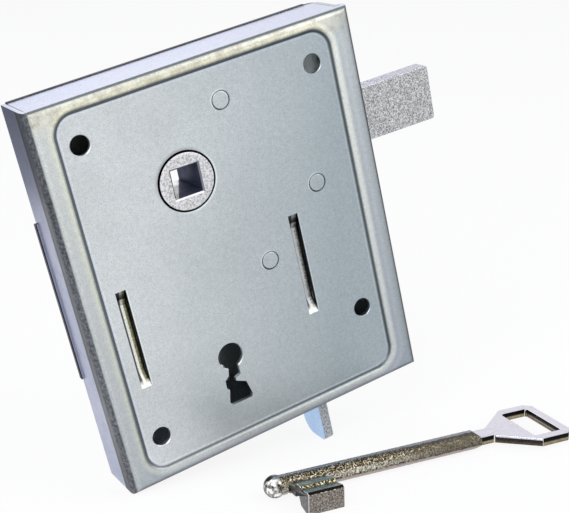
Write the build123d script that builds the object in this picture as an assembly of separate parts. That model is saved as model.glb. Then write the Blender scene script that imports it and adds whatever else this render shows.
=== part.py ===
from build123d import *
import os
from math import asin, atan2, cos, degrees, hypot, radians, sin, sqrt, tan

# Rim lock with a lifting latch, a key-thrown deadbolt and a night bolt.
# Millimetres. X runs towards the bolts, Z up, and the front faces -Y.
# The origin is on the hub axis, in the plane of the door behind the lock.

# case: a folded front shell closed by a base plate that turns round into the forend
backset = 60.0
hub_from_left = 40.3
hub_from_top = 33.2
key_down = 56.0
key_above_foot = 28.8
sheet = 1.25
side_roll = 3.0
end_roll = 1.8
panel_left_border = 7.5
panel_right_border = 9.0
panel_top_border = 4.3
panel_foot_border = 4.7
panel_corner = 5.5
panel_sink = 1.1
panel_rim_bend = 1.6
panel_foot_bend = 0.5
hole_edge = 0.2
corner_seam = 0.15
base_thick = 1.5
forend_bend = 2.5
cover_lap = 1.5
lip_deep = 4.6
forend_behind = 3.35
plate_gap = 0.15
tongue_top_down = 34.8
tongue_high = 49.8
tongue_proud = 0.75
plate_proud = 0.3

# screw holes through the case, measured in from its edges
screw_hole_radius = 2.85
left_screws_in = 13.2
right_screws_in = 13.6
upper_screws_in = 13.2
lower_left_screw_in = 13.8
lower_right_screw_in = 25.8

# lanced bridges that carry the bolt plate off the panel
bridge_sink = 2.25
bridge_ramp = 4.8
bridge_wide = 3.2
left_bridge_in = 12.9
left_bridge_below_bolt = 0.4
left_bridge_high = 30.6
right_bridge_in = 30.2
right_bridge_above_bolt = 0.8
right_bridge_high = 32.4

# stepped posts riveted into the panel
post_tenon_radius = 2.7
post_tenon_edge = 0.25
spring_post_x = 15.8
spring_post_z = 18.9
spring_post_radius = 3.6
stop_post_x = 40.1
stop_post_radius = 5.0
stop_gap = 0.3
guide_post_x = 19.6
guide_below_bolt_top = 4.0
guide_post_radius = 2.5
guide_shoulder_radius = 4.2

# countersunk screws that hold the base plate to the posts
screw_radius = 2.0
screw_head_radius = 3.5
screw_long = 8.0
screw_slot_wide = 1.0
screw_slot_deep = 0.6

# lifting latch: hub and bar in one casting
spindle_square = 8.5
square_chamfer = 0.45
hub_radius = 8.45
hub_running = 0.3
hub_proud = 0.3
hub_back_sink = 0.2
hub_edge = 0.3
drum_radius = 11.5
drum_gap = 0.2
latch_thick = 5.5
latch_behind_panel = 3.1
latch_root_high = 16.0
latch_tip_high = 17.0
latch_reach = 27.4
latch_droop = 1.8
latch_corner = 0.9
latch_edge = 0.35
latch_lift = 11.0
latch_slot_gap = 0.5

# latch spring
latch_wire_radius = 0.7
latch_turns = 2
latch_coil_clear = 1.15
latch_wire_gap = 0.15
latch_leg_x = 38.0
latch_anchor_x = 27.5
leg_touch = 0.05

# both springs' wire has eight sides, which keeps its facets few
wire_sides = 8

# deadbolt: sliding plate with a riveted head
bolt_throw = 10.0
bolt_plate_thick = 3.0
bolt_high = 20.4
bolt_above_key = 17.5
bolt_tail_gap = 0.5
bolt_plate_short = 6.0
bolt_head_long = 19.0
bolt_head_clear = 2.8
bolt_flush = 0.2
slide_gap = 0.1
bolt_slot_gap = 0.2
bolt_corner = 1.2
head_rivet_radius = 1.5
head_rivet_inset = 4.5
head_rivet_apart = 10.0
stump_radius = 1.5
stump_out = 20.5
window_play = 0.5

# key and keyhole
keyhole_radius = 4.0
bit_reach = 15.4
bit_corner_half = 3.5
bit_play = 0.35
bit_wide = 11.4
bit_round = 0.7
shaft_radius = 3.0
ball_radius = 3.4
ball_neck = 0.35
bit_from_ball = 3.5
shaft_long = 69.2
shaft_slope = 2.3
collar_long = 4.6
collar_half = 2.8
bow_wide = 24.6
bow_flare_long = 11.5
bow_side_long = 9.5
bow_corner_cut = 2.3
bow_thick = 2.8
bow_end_rim = 3.1
bow_side_rim = 3.15
bow_hole_long = 9.6
bow_hole_round = 0.8
bow_edge = 0.25
key_along_floor = 34.7
key_out_front = 40.2
key_turn = -3.6

# talon and tumbler
talon_height = 12.4
talon_wide = 7.8
talon_gap = 0.5
tumbler_thick = 2.0
tumbler_gap = 0.3
tumbler_eye = 5.6
tumbler_belly = 11.0
tumbler_belly_radius = 5.0
tumbler_arm_high = 7.0
tumbler_past_stump = 5.5
gate_play = 0.95
gate_back_play = 0.2
gate_deep = 1.75
lug_clear = 2.7
lug_wide = 5.0
lug_thick = 1.2
lug_x = 2.0
sleeve_wall = 0.5
tumbler_wire_radius = 0.4
tumbler_turns = 1
tumbler_wire_gap = 0.15
tumbler_leg_past = 4.2
tumbler_spring_clear = 2.1

# night bolt with its thumb tab
night_throw = 10.0
night_high = 12.0
night_thick = 5.0
night_above_foot = 11.8
night_long = 45.8
night_gap = 0.3
night_post_in = 16.0
night_post_radius = 2.0
night_post_head = 4.0
night_post_head_thick = 1.2
tab_from_tail = 11.2
tab_thick = 3.2
tab_behind_front = 3.5
tab_before_plate = 1.0
tab_reach = 14.1
tab_tenon_high = 5.0
tab_tenon_deep = 3.0
tab_back_round = 7.3
tab_front_round = 2.2
leaf_thick = 0.5
leaf_wide = 5.0
leaf_long = 16.0
leaf_foot = 5.0
leaf_rivet_radius = 1.0
leaf_rivet_head = 1.8
leaf_rivet_head_thick = 0.6

overrun = 1.0
running = 0.05

# depths worked out from the pieces that lie behind one another, from the door forward
tumbler_pitch = 2 * tumbler_wire_radius + tumbler_wire_gap
tumbler_spring_room = (tumbler_turns + 3) * tumbler_pitch + 2 * tumbler_wire_radius + tumbler_spring_clear
base_front = -base_thick
tumbler_back = base_front - tumbler_spring_room
tumbler_front = tumbler_back - tumbler_thick
bolt_back = tumbler_front - tumbler_gap
bolt_front = bolt_back - bolt_plate_thick
bridge_back = bolt_front - slide_gap
panel_back = bridge_back - bridge_sink
panel_front = panel_back - sheet
front = panel_front - panel_sink
rim_back = front + sheet
forend_front = front + forend_behind
latch_front = panel_back + latch_behind_panel
latch_back = latch_front + latch_thick
head_back = base_front - bolt_head_clear
night_y = (panel_back + base_front) / 2

# places worked out across and up the case
left = -hub_from_left
right = backset
cover_right = right + cover_lap
top = hub_from_top
key_z = -key_down
foot = key_z - key_above_foot
case_high = top - foot
bolt_z = key_z + bolt_above_key
bolt_top = bolt_z + bolt_high / 2
bolt_foot = bolt_z - bolt_high / 2
guide_post_z = bolt_top - guide_below_bolt_top
sleeve_radius = guide_post_radius + sleeve_wall
bolt_head_from = right - bolt_head_long
bolt_plate_to = right - bolt_plate_short
night_z = foot + night_above_foot
night_from = right - bolt_flush - night_long
night_post_x = right - night_post_in
tab_x = night_from + tab_from_tail
tab_front = front + tab_behind_front
tab_back = base_front - tab_before_plate

# the bit's section, as shares of its reach: across, then away from the key's axis
bit_shares = (
    (0.110, 0.210), (0.110, 0.435), (-0.008, 0.480), (-0.020, 0.532), (0.188, 0.636), (0.260, 0.935),
    (0.227, 1.000), (-0.195, 1.000), (-0.247, 0.922), (-0.188, 0.669), (-0.240, 0.617), (-0.234, 0.455),
    (-0.143, 0.377), (-0.104, 0.210),
)


def block(x0, x1, y0, y1, z0, z1):
    """a box between two corners"""
    return Pos((x0 + x1) / 2, (y0 + y1) / 2, (z0 + z1) / 2) * Box(x1 - x0, y1 - y0, z1 - z0)


def plate(sketch, y_front, y_back):
    """a sketch drawn in X and Z, given thickness from y_front to y_back"""
    return extrude(Plane.XZ.offset(-y_back) * sketch, amount=y_back - y_front)


def rod(x, z, radius, y_front, y_back):
    """a cylinder along Y"""
    return plate(Pos(x, z) * Circle(radius), y_front, y_back)


def polygon(points):
    """a filled outline through the points"""
    return make_face(Polyline(*points, close=True))


def turned_up(shape, x, z, angle):
    """the shape turned about an axis along Y through x, z, so that its +X side rises"""
    return Pos(x, 0, z) * Rot(0, -angle, 0) * Pos(-x, 0, -z) * shape


def rolled_block(x0, x1, y0, y1, z0, z1, side_radius, end_radius):
    """a box whose front edges are rolled, with mitred corners"""
    plan = Pos((x0 + x1) / 2, (y0 + y1) / 2) * Rectangle(x1 - x0, y1 - y0)
    plan = fillet(plan.vertices().group_by(Axis.Y)[0], side_radius)
    side = Pos((y0 + y1) / 2, (z0 + z1) / 2) * Rectangle(y1 - y0, z1 - z0)
    side = fillet(side.vertices().group_by(Axis.X)[0], end_radius)
    upright = extrude(Pos(0, 0, z0) * plan, amount=z1 - z0)
    return upright & extrude(Plane.YZ.offset(x0) * side, amount=x1 - x0)


def panel_frustum(y_narrow, y_wide, grow):
    """the sunk panel's space, widening at 45 degrees from y_narrow forward to y_wide"""
    wide = cover_right - panel_right_border - left - panel_left_border + 2 * grow
    high = case_high - panel_top_border - panel_foot_border + 2 * grow
    middle = Pos((left + panel_left_border + cover_right - panel_right_border) / 2,
                 (top - panel_top_border + foot + panel_foot_border) / 2)
    flare = y_narrow - y_wide
    near = middle * RectangleRounded(wide, high, panel_corner + grow)
    far = middle * RectangleRounded(wide + 2 * flare, high + 2 * flare, panel_corner + grow + flare)
    return loft([(Plane.XZ.offset(-y_narrow) * near).face(), (Plane.XZ.offset(-y_wide) * far).face()])


def panel_edges(shell, y):
    """the edges of the sunk panel that lie in the plane at y"""
    middle = (left + panel_left_border + cover_right - panel_right_border) / 2
    reach_x = middle - left - panel_left_border + panel_sink + running
    reach_z = (case_high - panel_top_border) / 2
    found = []
    for edge in shell.edges().filter_by_position(Axis.Y, y - running, y + running):
        box = edge.bounding_box()
        across = max(abs(box.min.X - middle), abs(box.max.X - middle))
        along = max(abs(box.min.Z - (top + foot) / 2), abs(box.max.Z - (top + foot) / 2))
        if across < reach_x and along < reach_z:
            found.append(edge)
    return found


def screw_places():
    """the four mounting holes in X and Z"""
    left_x = left + left_screws_in
    right_x = right - right_screws_in
    return [
        (left_x, top - upper_screws_in), (left_x, foot + lower_left_screw_in),
        (right_x, top - upper_screws_in), (right_x, foot + lower_right_screw_in),
    ]


def post_places():
    """where the posts are riveted into the panel: the spring's, the latch's stop and the bolt's guide"""
    return [(spring_post_x, spring_post_z), (stop_post_x, stop_post_z()), (guide_post_x, guide_post_z)]


def keyhole(shrink=0):
    """the keyhole's outline in X and Z, or the key's section where it shrinks"""
    bit = polygon([(x * bit_reach, key_z - z * bit_reach) for x, z in bit_shares])
    if shrink:
        bit = offset(bit, amount=-shrink, kind=Kind.INTERSECTION)
    return bit


def bridge(x, z, high):
    """a strip pressed in from the panel, in one piece with it at both ends"""
    up = z + high / 2
    down = z - high / 2
    profile = polygon([
        (panel_front, up), (panel_front + bridge_sink, up - bridge_ramp),
        (panel_front + bridge_sink, down + bridge_ramp), (panel_front, down),
        (panel_back, down), (bridge_back, down + bridge_ramp),
        (bridge_back, up - bridge_ramp), (panel_back, up),
    ])
    return extrude(Plane.YZ.offset(x - bridge_wide / 2) * profile, amount=bridge_wide)


def case_cover():
    """front shell: sunk panel, rolled rim, left, top and bottom walls"""
    outer = rolled_block(left, cover_right, front, 0, foot, top, side_roll, end_roll)
    inner = rolled_block(left + sheet, cover_right - sheet, rim_back, overrun, foot + sheet, top - sheet,
                         side_roll - sheet, end_roll - sheet)
    shell = outer - inner
    shell += panel_frustum(panel_back, rim_back, sheet * tan(radians(45) / 2))
    shell -= panel_frustum(panel_front, front - overrun, 0)
    shell = fillet(panel_edges(shell, front), panel_rim_bend)
    shell = fillet(panel_edges(shell, panel_front), panel_foot_bend)
    shell -= block(left + sheet, cover_right + overrun, base_front, overrun, foot - overrun, top + overrun)
    shell -= block(right - base_thick - plate_gap, cover_right - sheet, forend_front - plate_gap, overrun,
                   foot - overrun, top + overrun)
    shell -= block(right, cover_right + overrun, front + lip_deep, overrun, foot - overrun, top + overrun)
    shell -= bend_corner()
    shell -= tongue_block(plate_gap, base_front - plate_gap, overrun)
    for z0, z1 in ((top - sheet, top + overrun), (foot - overrun, foot + sheet)):
        shell -= block(left + sheet, left + sheet + corner_seam, front + side_roll, overrun, z0, z1)
    shell -= block(tab_x - night_gap, tab_x + tab_thick + night_throw + night_gap,
                   tab_front - night_gap, overrun, foot - overrun, foot + sheet + running)
    shell -= edged_hole(0, 0, hub_radius + hub_running)
    for x, z in screw_places():
        shell -= edged_hole(x, z, screw_hole_radius)
    for x, z in post_places():
        shell -= rod(x, z, post_tenon_radius, front, panel_back + overrun)
    shell -= plate(keyhole(), front, panel_back + overrun)
    shell -= edged_hole(0, key_z, keyhole_radius)
    for x, z, high in ((left + left_bridge_in, bolt_z - left_bridge_below_bolt, left_bridge_high),
                       (right - right_bridge_in, bolt_z + right_bridge_above_bolt, right_bridge_high)):
        shell -= block(x - bridge_wide / 2, x + bridge_wide / 2, front, panel_back + overrun,
                       z - high / 2, z + high / 2)
        shell += bridge(x, z, high)
    return shell


def cone(x, z, radius, y, far_radius, far_y):
    """a cone along Y between two radii"""
    near = (Plane.XZ.offset(-y) * (Pos(x, z) * Circle(radius))).face()
    far = (Plane.XZ.offset(-far_y) * (Pos(x, z) * Circle(far_radius))).face()
    return loft([near, far])


def edged_hole(x, z, radius):
    """a round hole through the panel with its front edge broken"""
    edge = cone(x, z, radius + hole_edge, panel_front, radius, panel_front + hole_edge)
    return rod(x, z, radius, front, panel_back + overrun) + edge


def bend_corner():
    """what the top and bottom walls give up to the inside of the forend's bend"""
    x = right - base_thick - forend_bend
    y = base_front - forend_bend
    square = Pos(x + forend_bend / 2, y + forend_bend / 2) * Rectangle(forend_bend, forend_bend)
    kept = Pos(x, y) * Circle(forend_bend - plate_gap)
    return extrude(Pos(0, 0, foot - overrun) * (square - kept), amount=case_high + 2 * overrun)


def tongue_block(grow, y_front, y_back):
    """the space of the base plate's tongue in the left wall"""
    tongue_top = top - tongue_top_down
    return block(left - overrun, left + sheet + overrun, y_front, y_back,
                 tongue_top - tongue_high - grow, tongue_top + grow)


def latch_outline(grow=0):
    """the latch bar, level, in X and Z"""
    tip = right + latch_reach
    root = hub_radius / 2
    half_root = latch_root_high / 2 + grow
    half_tip = latch_tip_high / 2 + grow
    bar = polygon([(root, -half_root), (tip, -half_tip), (tip, half_tip), (root, half_root)])
    return fillet(bar.vertices().group_by(Axis.X)[-1], latch_corner)


def latch_slot():
    """the forend's opening for the latch over its whole lift"""
    lowest = -right * tan(radians(latch_droop)) - latch_tip_high / 2
    highest = right * tan(radians(latch_lift - latch_droop)) + latch_tip_high / 2
    return block(right - 2 * base_thick, right + overrun,
                 latch_front - latch_slot_gap, latch_back + latch_slot_gap,
                 lowest - latch_slot_gap, highest + latch_slot_gap)


def base_plate():
    """back plate with its tongue, turned round at the right into the forend"""
    near = left + sheet + plate_gap
    flat = Pos((near + right) / 2, base_front / 2) * Rectangle(right - near, base_thick)
    turn = Pos(right - base_thick / 2, forend_front / 2) * Rectangle(base_thick, -forend_front)
    profile = flat + turn
    outer = profile.vertices().sort_by(lambda v: v.X + v.Y)[-1]
    profile = fillet(outer, forend_bend + base_thick)
    inner = profile.vertices().sort_by(lambda v: hypot(v.X - right + base_thick, v.Y - base_front))[0]
    profile = fillet(inner, forend_bend)
    body = extrude(Pos(0, 0, foot) * profile, amount=case_high)
    body += block(near, right - base_thick - forend_bend, base_front, 0, top - base_thick, top + plate_proud)
    body += tongue_block(-plate_gap, base_front, 0) & block(left - tongue_proud, near + overrun,
                                                            base_front, 0, foot, top)
    body -= rod(0, 0, hub_radius + hub_running, base_front - overrun, overrun)
    body -= plate(keyhole(), base_front - overrun, overrun)
    body -= rod(0, key_z, keyhole_radius, base_front - overrun, overrun)
    for x, z in screw_places():
        body -= rod(x, z, screw_hole_radius, base_front - overrun, overrun)
    for x, z in post_places()[:2]:
        body -= screw_cone(x, z)
    body -= rod(night_post_x, night_z, night_post_radius, base_front - overrun, overrun)
    body -= latch_slot()
    body -= block(right - 2 * base_thick, right + overrun,
                  bolt_front - bolt_slot_gap, head_back + bolt_slot_gap,
                  bolt_foot - bolt_slot_gap, bolt_top + bolt_slot_gap)
    body -= block(right - 2 * base_thick, right + overrun, night_y - night_thick / 2 - night_gap,
                  night_y + night_thick / 2 + night_gap, night_z - night_high / 2 - night_gap,
                  night_z + night_high / 2 + night_gap)
    return body


def screw_cone(x, z):
    """the countersunk head's space, from the back face to the shank"""
    return cone(x, z, screw_head_radius, 0, screw_radius, base_front)


def back_screws():
    """two countersunk slotted screws in the spring and stop posts"""
    screws = []
    for x, z in post_places()[:2]:
        screw = screw_cone(x, z) + rod(x, z, screw_radius, -screw_long, base_front)
        screw -= block(x - screw_head_radius - overrun, x + screw_head_radius + overrun, -screw_slot_deep, overrun,
                       z - screw_slot_wide / 2, z + screw_slot_wide / 2)
        screws.append(screw)
    return screws


def riveted_tenon(x, z):
    """a post's end in the panel, its front edge broken"""
    tenon = rod(x, z, post_tenon_radius, panel_front, panel_back)
    return chamfer(tenon.faces().sort_by(Axis.Y)[0].edges(), post_tenon_edge)


def stepped_post(x, z, radius):
    """a post with a tenon in the panel, tapped from the back for a screw"""
    post = riveted_tenon(x, z) + rod(x, z, radius, panel_back, base_front)
    return post - rod(x, z, screw_radius, -screw_long, base_front + overrun)


def guide_post():
    """the deadbolt's guide: tenon, shoulder behind the panel and a neck for bolt, tumbler and sleeve"""
    x = guide_post_x
    z = guide_post_z
    post = riveted_tenon(x, z)
    post += rod(x, z, guide_shoulder_radius, panel_back, bridge_back)
    return post + rod(x, z, guide_post_radius, bridge_back, base_front)


def lifting_latch():
    """hub and latch bar cast in one, drooping at rest"""
    bar = plate(latch_outline(), latch_front, latch_back)
    bar = chamfer(bar.faces().sort_by(Axis.X)[-1].edges(), latch_edge)
    bar = turned_up(bar, 0, 0, -latch_droop)
    hub = rod(0, 0, hub_radius, panel_front - hub_proud, -hub_back_sink)
    hub = chamfer(hub.faces().sort_by(Axis.Y)[0].edges(), hub_edge)
    body = hub + rod(0, 0, drum_radius, panel_back + drum_gap, base_front - drum_gap) + bar
    half = spindle_square / 2
    body -= block(-half, half, front - overrun, overrun, -half, half)
    body -= square_mouth(panel_front - hub_proud, square_chamfer)
    return body - square_mouth(-hub_back_sink, -square_chamfer)


def square_mouth(y, depth):
    """the chamfer round one end of the spindle's square hole"""
    wide = spindle_square + 2 * square_chamfer
    mouth = (Plane.XZ.offset(-y) * Rectangle(wide, wide)).face()
    throat = (Plane.XZ.offset(-y - depth) * Rectangle(spindle_square, spindle_square)).face()
    return loft([mouth, throat])


def latch_bar_edge(side):
    """two points of the drooping bar's upper edge where side is 1, or of its lower edge where it is -1"""
    droop = radians(latch_droop)
    ends = ((hub_radius / 2, side * latch_root_high / 2), (right + latch_reach, side * latch_tip_high / 2))
    return [(x * cos(droop) + z * sin(droop), z * cos(droop) - x * sin(droop)) for x, z in ends]


def latch_bar_top(x):
    """how high the drooping bar's upper edge lies at x"""
    root, tip = latch_bar_edge(1)
    return root[1] + (tip[1] - root[1]) * (x - root[0]) / (tip[0] - root[0])


def stop_post_z():
    """how high the stop post's axis lies, for the drooping bar to rest on it"""
    root, tip = latch_bar_edge(-1)
    slope = (tip[1] - root[1]) / (tip[0] - root[0])
    return root[1] + slope * (stop_post_x - root[0]) - (stop_post_radius + stop_gap) * hypot(1, slope)


def arc_pair(start, start_way, end, end_way):
    """two arcs that join two points of a turn and share a tangent"""
    chord = end - start
    ways = start_way + end_way
    a = ways.dot(ways) - 4
    b = -2 * chord.dot(ways)
    c = chord.dot(chord)
    reach = (-b - sqrt(b * b - 4 * a * c)) / (2 * a)
    first = start + start_way * reach
    second = end - end_way * reach
    middle = (first + second) * 0.5
    return [TangentArc(start, middle, tangent=start_way),
            TangentArc(middle, end, tangent=(second - first).normalized())]


def tangent_angle(x, z, radius, px, pz, hand):
    """the angle on a circle where a line from px, pz touches it, on the side that hand gives"""
    away = atan2(pz - z, px - x)
    return away + hand * (radians(90) - atan2(radius, sqrt(hypot(px - x, pz - z) ** 2 - radius ** 2)))


def coil_spring(x, z, radius, wire, pitch, y_start, turns, hand, first_leg, last_leg):
    """a torsion spring: a leg in, whole turns and a part turn about an axis along Y, and a leg out"""
    begin = tangent_angle(x, z, radius, first_leg[0], first_leg[1], hand)
    finish = tangent_angle(x, z, radius, last_leg[0], last_leg[1], -hand)
    sweep_angle = (hand * (finish - begin)) % radians(360) + turns * radians(360)
    steps = round(degrees(sweep_angle) / 90)
    rise = pitch / radians(360)
    slant = hypot(radius, rise)

    def place(k):
        angle = begin + hand * sweep_angle * k / steps
        risen = y_start + rise * sweep_angle * k / steps
        return Vector(x + radius * cos(angle), risen, z + radius * sin(angle))

    def way(k):
        angle = begin + hand * sweep_angle * k / steps
        return Vector(-hand * radius * sin(angle), rise, hand * radius * cos(angle)) / slant

    lead_in = hypot(first_leg[0] - place(0).X, first_leg[1] - place(0).Z)
    lead_out = hypot(last_leg[0] - place(steps).X, last_leg[1] - place(steps).Z)
    path = [Line(place(0) - way(0) * lead_in, place(0))]
    for k in range(steps):
        path += arc_pair(place(k), way(k), place(k + 1), way(k + 1))
    path.append(Line(place(steps), place(steps) + way(steps) * lead_out))
    wire_path = Wire([edge for piece in path for edge in piece.edges()])
    section = Plane(origin=wire_path @ 0, z_dir=wire_path % 0) * RegularPolygon(wire, wire_sides)
    spring = sweep(section, path=wire_path)
    print("spring", round(spring.volume, 2), "mm3, section times length",
          round(wire_path.length * section.area, 2), "least gap between turns", round(pitch - 2 * wire, 2))
    return spring


def past_post(x, z, radius, post_x, post_z, reach, past):
    """the end of a leg that leaves a coil and runs on past a post, both on its right-hand side"""
    apart = hypot(post_x - x, post_z - z)
    heading = atan2(post_z - z, post_x - x) + asin((reach - radius) / apart)
    return (post_x - reach * sin(heading) + past * cos(heading), post_z + reach * cos(heading) + past * sin(heading))


def latch_spring():
    """hairpin coil on the spring post: one leg under the top wall, one on the latch bar"""
    radius = spring_post_radius + latch_wire_radius + 2 * latch_wire_gap
    pitch = 2 * latch_wire_radius + latch_wire_gap
    return coil_spring(spring_post_x, spring_post_z, radius, latch_wire_radius, pitch,
                       panel_back + latch_wire_radius + latch_coil_clear, latch_turns, 1,
                       (latch_anchor_x, top - sheet - latch_wire_radius - leg_touch),
                       (latch_leg_x, latch_bar_top(latch_leg_x) + latch_wire_radius + leg_touch))


def key_window():
    """the bolt plate's cut above the key, and its talon, in X and Z"""
    reach = bit_corner_radius()
    half = sqrt(reach ** 2 - (key_z - bolt_foot) ** 2) + window_play
    lower = Pos(-bolt_throw / 2, (bolt_foot - overrun + key_z + talon_height) / 2) * Rectangle(
        2 * half + bolt_throw, key_z + talon_height - bolt_foot + overrun)
    talon_right = sqrt(reach ** 2 - talon_height ** 2) + talon_gap / 2 - bolt_throw
    talon = Pos(talon_right - talon_wide / 2, key_z + (talon_height + reach + talon_gap) / 2) * Rectangle(
        talon_wide, reach + talon_gap - talon_height + running)
    return lower + talon


def bit_corner_radius():
    """how far the bit's corners sweep from the key's axis"""
    return hypot(bit_reach - bit_play, bit_corner_half - bit_play)


def deadbolt_plate():
    """sliding plate with guide slot, key window and talon"""
    tail = left + sheet + bolt_tail_gap
    long = bolt_plate_to - tail
    outline = Pos(tail + long / 2, bolt_z) * RectangleRounded(long, bolt_high, bolt_corner)
    slot_half = guide_post_radius + slide_gap
    slot = Pos(guide_post_x - bolt_throw / 2, guide_post_z) * SlotOverall(
        bolt_throw + 2 * slot_half + 2 * slide_gap, 2 * slot_half)
    outline = outline - slot - key_window()
    outline -= Pos(-stump_out, bolt_z) * Circle(stump_radius)
    for x, z in head_rivet_places():
        outline -= Pos(x, z) * Circle(head_rivet_radius)
    return plate(outline, bolt_front, bolt_back)


def head_rivet_places():
    """the two rivets that hold the deadbolt's head"""
    x = bolt_head_from + head_rivet_inset
    return [(x, bolt_z + head_rivet_apart / 2), (x, bolt_z - head_rivet_apart / 2)]


def deadbolt_head():
    """head with a rebate for the plate, flush with the forend when drawn back"""
    head = block(bolt_head_from, right - bolt_flush, bolt_front, head_back, bolt_foot, bolt_top)
    head = chamfer(head.faces().sort_by(Axis.X)[-1].edges(), latch_edge)
    head -= block(bolt_head_from - overrun, bolt_plate_to, bolt_front - overrun, bolt_back,
                  bolt_foot - overrun, bolt_top + overrun)
    for x, z in head_rivet_places():
        head -= rod(x, z, head_rivet_radius, bolt_front, head_back + overrun)
    return head


def deadbolt_rivets():
    """two flush rivets through plate and head"""
    return [rod(x, z, head_rivet_radius, bolt_front, head_back) for x, z in head_rivet_places()]


def deadbolt_stump():
    """pin in the bolt plate that the tumbler's gate holds"""
    return rod(-stump_out, bolt_z, stump_radius, bolt_front, tumbler_back)


def tumbler_outline():
    """eye, arm, belly over the key and two gates, in X and Z"""
    end = -stump_out - tumbler_past_stump
    belly_z = key_z + tumbler_belly + tumbler_belly_radius
    arm = polygon([(guide_post_x, guide_post_z + tumbler_eye), (guide_post_x, guide_post_z - tumbler_eye),
                   (tumbler_belly_radius, bolt_z), (end, bolt_z), (end, bolt_z + tumbler_arm_high)])
    belly = make_hull((Pos(0, belly_z) * Circle(tumbler_belly_radius)).edges()
                      + (Pos(guide_post_x - tumbler_eye, bolt_z + tumbler_eye / 2) * Circle(tumbler_eye / 2)).edges())
    outline = arm + belly + Pos(guide_post_x, guide_post_z) * Circle(tumbler_eye)
    outline = fillet(outline.vertices().group_by(Axis.X)[0], bolt_corner)
    outline -= Pos(guide_post_x, guide_post_z) * Circle(guide_post_radius + running)
    gate = Rectangle(2 * stump_radius + gate_play + gate_back_play, gate_deep + running)
    for x in (-stump_out, -stump_out + bolt_throw):
        outline -= Pos(x + (gate_play - gate_back_play) / 2, bolt_z + gate_deep / 2) * gate
    return outline


def lug_top():
    """the upper face of the tumbler's lug, just under the arm's sloping edge"""
    share = (guide_post_x - lug_x) / (guide_post_x + stump_out + tumbler_past_stump)
    drop = guide_post_z + tumbler_eye - bolt_z - tumbler_arm_high
    return guide_post_z + tumbler_eye - drop * share - lug_thick


def tumbler_lever():
    """tumbler that locks the deadbolt's stump and is lifted by the key"""
    lever = plate(tumbler_outline(), tumbler_front, tumbler_back)
    return lever + block(lug_x - lug_wide / 2, lug_x + lug_wide / 2, tumbler_front, base_front - lug_clear,
                         lug_top() - lug_thick, lug_top())


def tumbler_spring():
    """light coil round the guide post: a leg on the tumbler's lug, a leg behind the stop post"""
    radius = sleeve_radius + tumbler_wire_radius + tumbler_wire_gap
    reach = stop_post_radius + tumbler_wire_radius + leg_touch
    return coil_spring(guide_post_x, guide_post_z, radius, tumbler_wire_radius, tumbler_pitch,
                       tumbler_back + tumbler_pitch + tumbler_wire_radius + running, tumbler_turns, -1,
                       (lug_x, lug_top() + tumbler_wire_radius + leg_touch),
                       past_post(guide_post_x, guide_post_z, radius, stop_post_x, stop_post_z(),
                                 reach, tumbler_leg_past))


def tumbler_sleeve():
    """spacer on the guide post that keeps the tumbler against the bolt"""
    sleeve = rod(guide_post_x, guide_post_z, sleeve_radius, tumbler_back + slide_gap, base_front)
    return sleeve - rod(guide_post_x, guide_post_z, guide_post_radius, tumbler_back - overrun, overrun)


def night_bolt():
    """square bar with a slot for its post and a socket for the tab"""
    bar = block(night_from, right - bolt_flush, night_y - night_thick / 2, night_y + night_thick / 2,
                night_z - night_high / 2, night_z + night_high / 2)
    bar = chamfer(bar.faces().sort_by(Axis.X)[-1].edges(), latch_edge)
    slot_half = night_post_radius + slide_gap
    slot = Pos(night_post_x - night_throw / 2, night_z) * SlotOverall(
        night_throw + 2 * slot_half + 2 * slide_gap, 2 * slot_half)
    bar -= plate(slot, night_y - night_thick, night_y + night_thick)
    bar -= tab_tenon()
    bar -= rod(night_from + leaf_foot / 2, night_z, leaf_rivet_radius,
               night_y - night_thick / 2, night_y + night_thick)
    return bar


def tab_tenon():
    """the tab's tenon in the night bolt"""
    return block(tab_x, tab_x + tab_thick, night_y - tab_tenon_deep / 2, night_y + tab_tenon_deep / 2,
                 night_z - night_high / 2, night_z - night_high / 2 + tab_tenon_high)


def night_bolt_tab():
    """stamped thumb tab, square in front and round at the back"""
    up = night_z - night_high / 2
    down = foot - tab_reach
    profile = Pos((tab_front + tab_back) / 2, (up + down) / 2) * Rectangle(tab_back - tab_front, up - down)
    low = profile.vertices().group_by(Axis.Y)[0].sort_by(Axis.X)
    profile = fillet(low[-1], min(tab_back_round, tab_back - tab_front - tab_front_round - running))
    low = profile.vertices().group_by(Axis.Y)[0].sort_by(Axis.X)
    profile = fillet(low[0], tab_front_round)
    tab = extrude(Plane.YZ.offset(tab_x) * profile, amount=tab_thick)
    return tab + tab_tenon()


def night_bolt_post():
    """headed post riveted into the base plate through the night bolt's slot"""
    face = night_y - night_thick / 2 - slide_gap
    post = rod(night_post_x, night_z, night_post_radius, face, 0)
    return post + rod(night_post_x, night_z, night_post_head, face - night_post_head_thick, face)


def night_bolt_leaf():
    """bowed leaf spring that rubs on the base plate and holds the night bolt where it is left"""
    back = night_y + night_thick / 2
    start = night_from + leaf_foot
    end = night_from + leaf_long
    crown = base_front - leg_touch
    outer = ThreePointArc((start, back + leaf_thick), ((start + end) / 2, crown), (end, back + leaf_thick))
    inner = ThreePointArc((end, back), ((start + end) / 2, crown - leaf_thick), (start, back))
    bow = make_face([outer, Line((end, back + leaf_thick), (end, back)), inner,
                     Line((start, back), (start, back + leaf_thick))])
    flat = Pos((night_from + start) / 2, back + leaf_thick / 2) * Rectangle(leaf_foot, leaf_thick)
    leaf = extrude(Pos(0, 0, night_z - leaf_wide / 2) * (bow + flat), amount=leaf_wide)
    return leaf - rod(night_from + leaf_foot / 2, night_z, leaf_rivet_radius, back - overrun, back + 2 * overrun)


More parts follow.
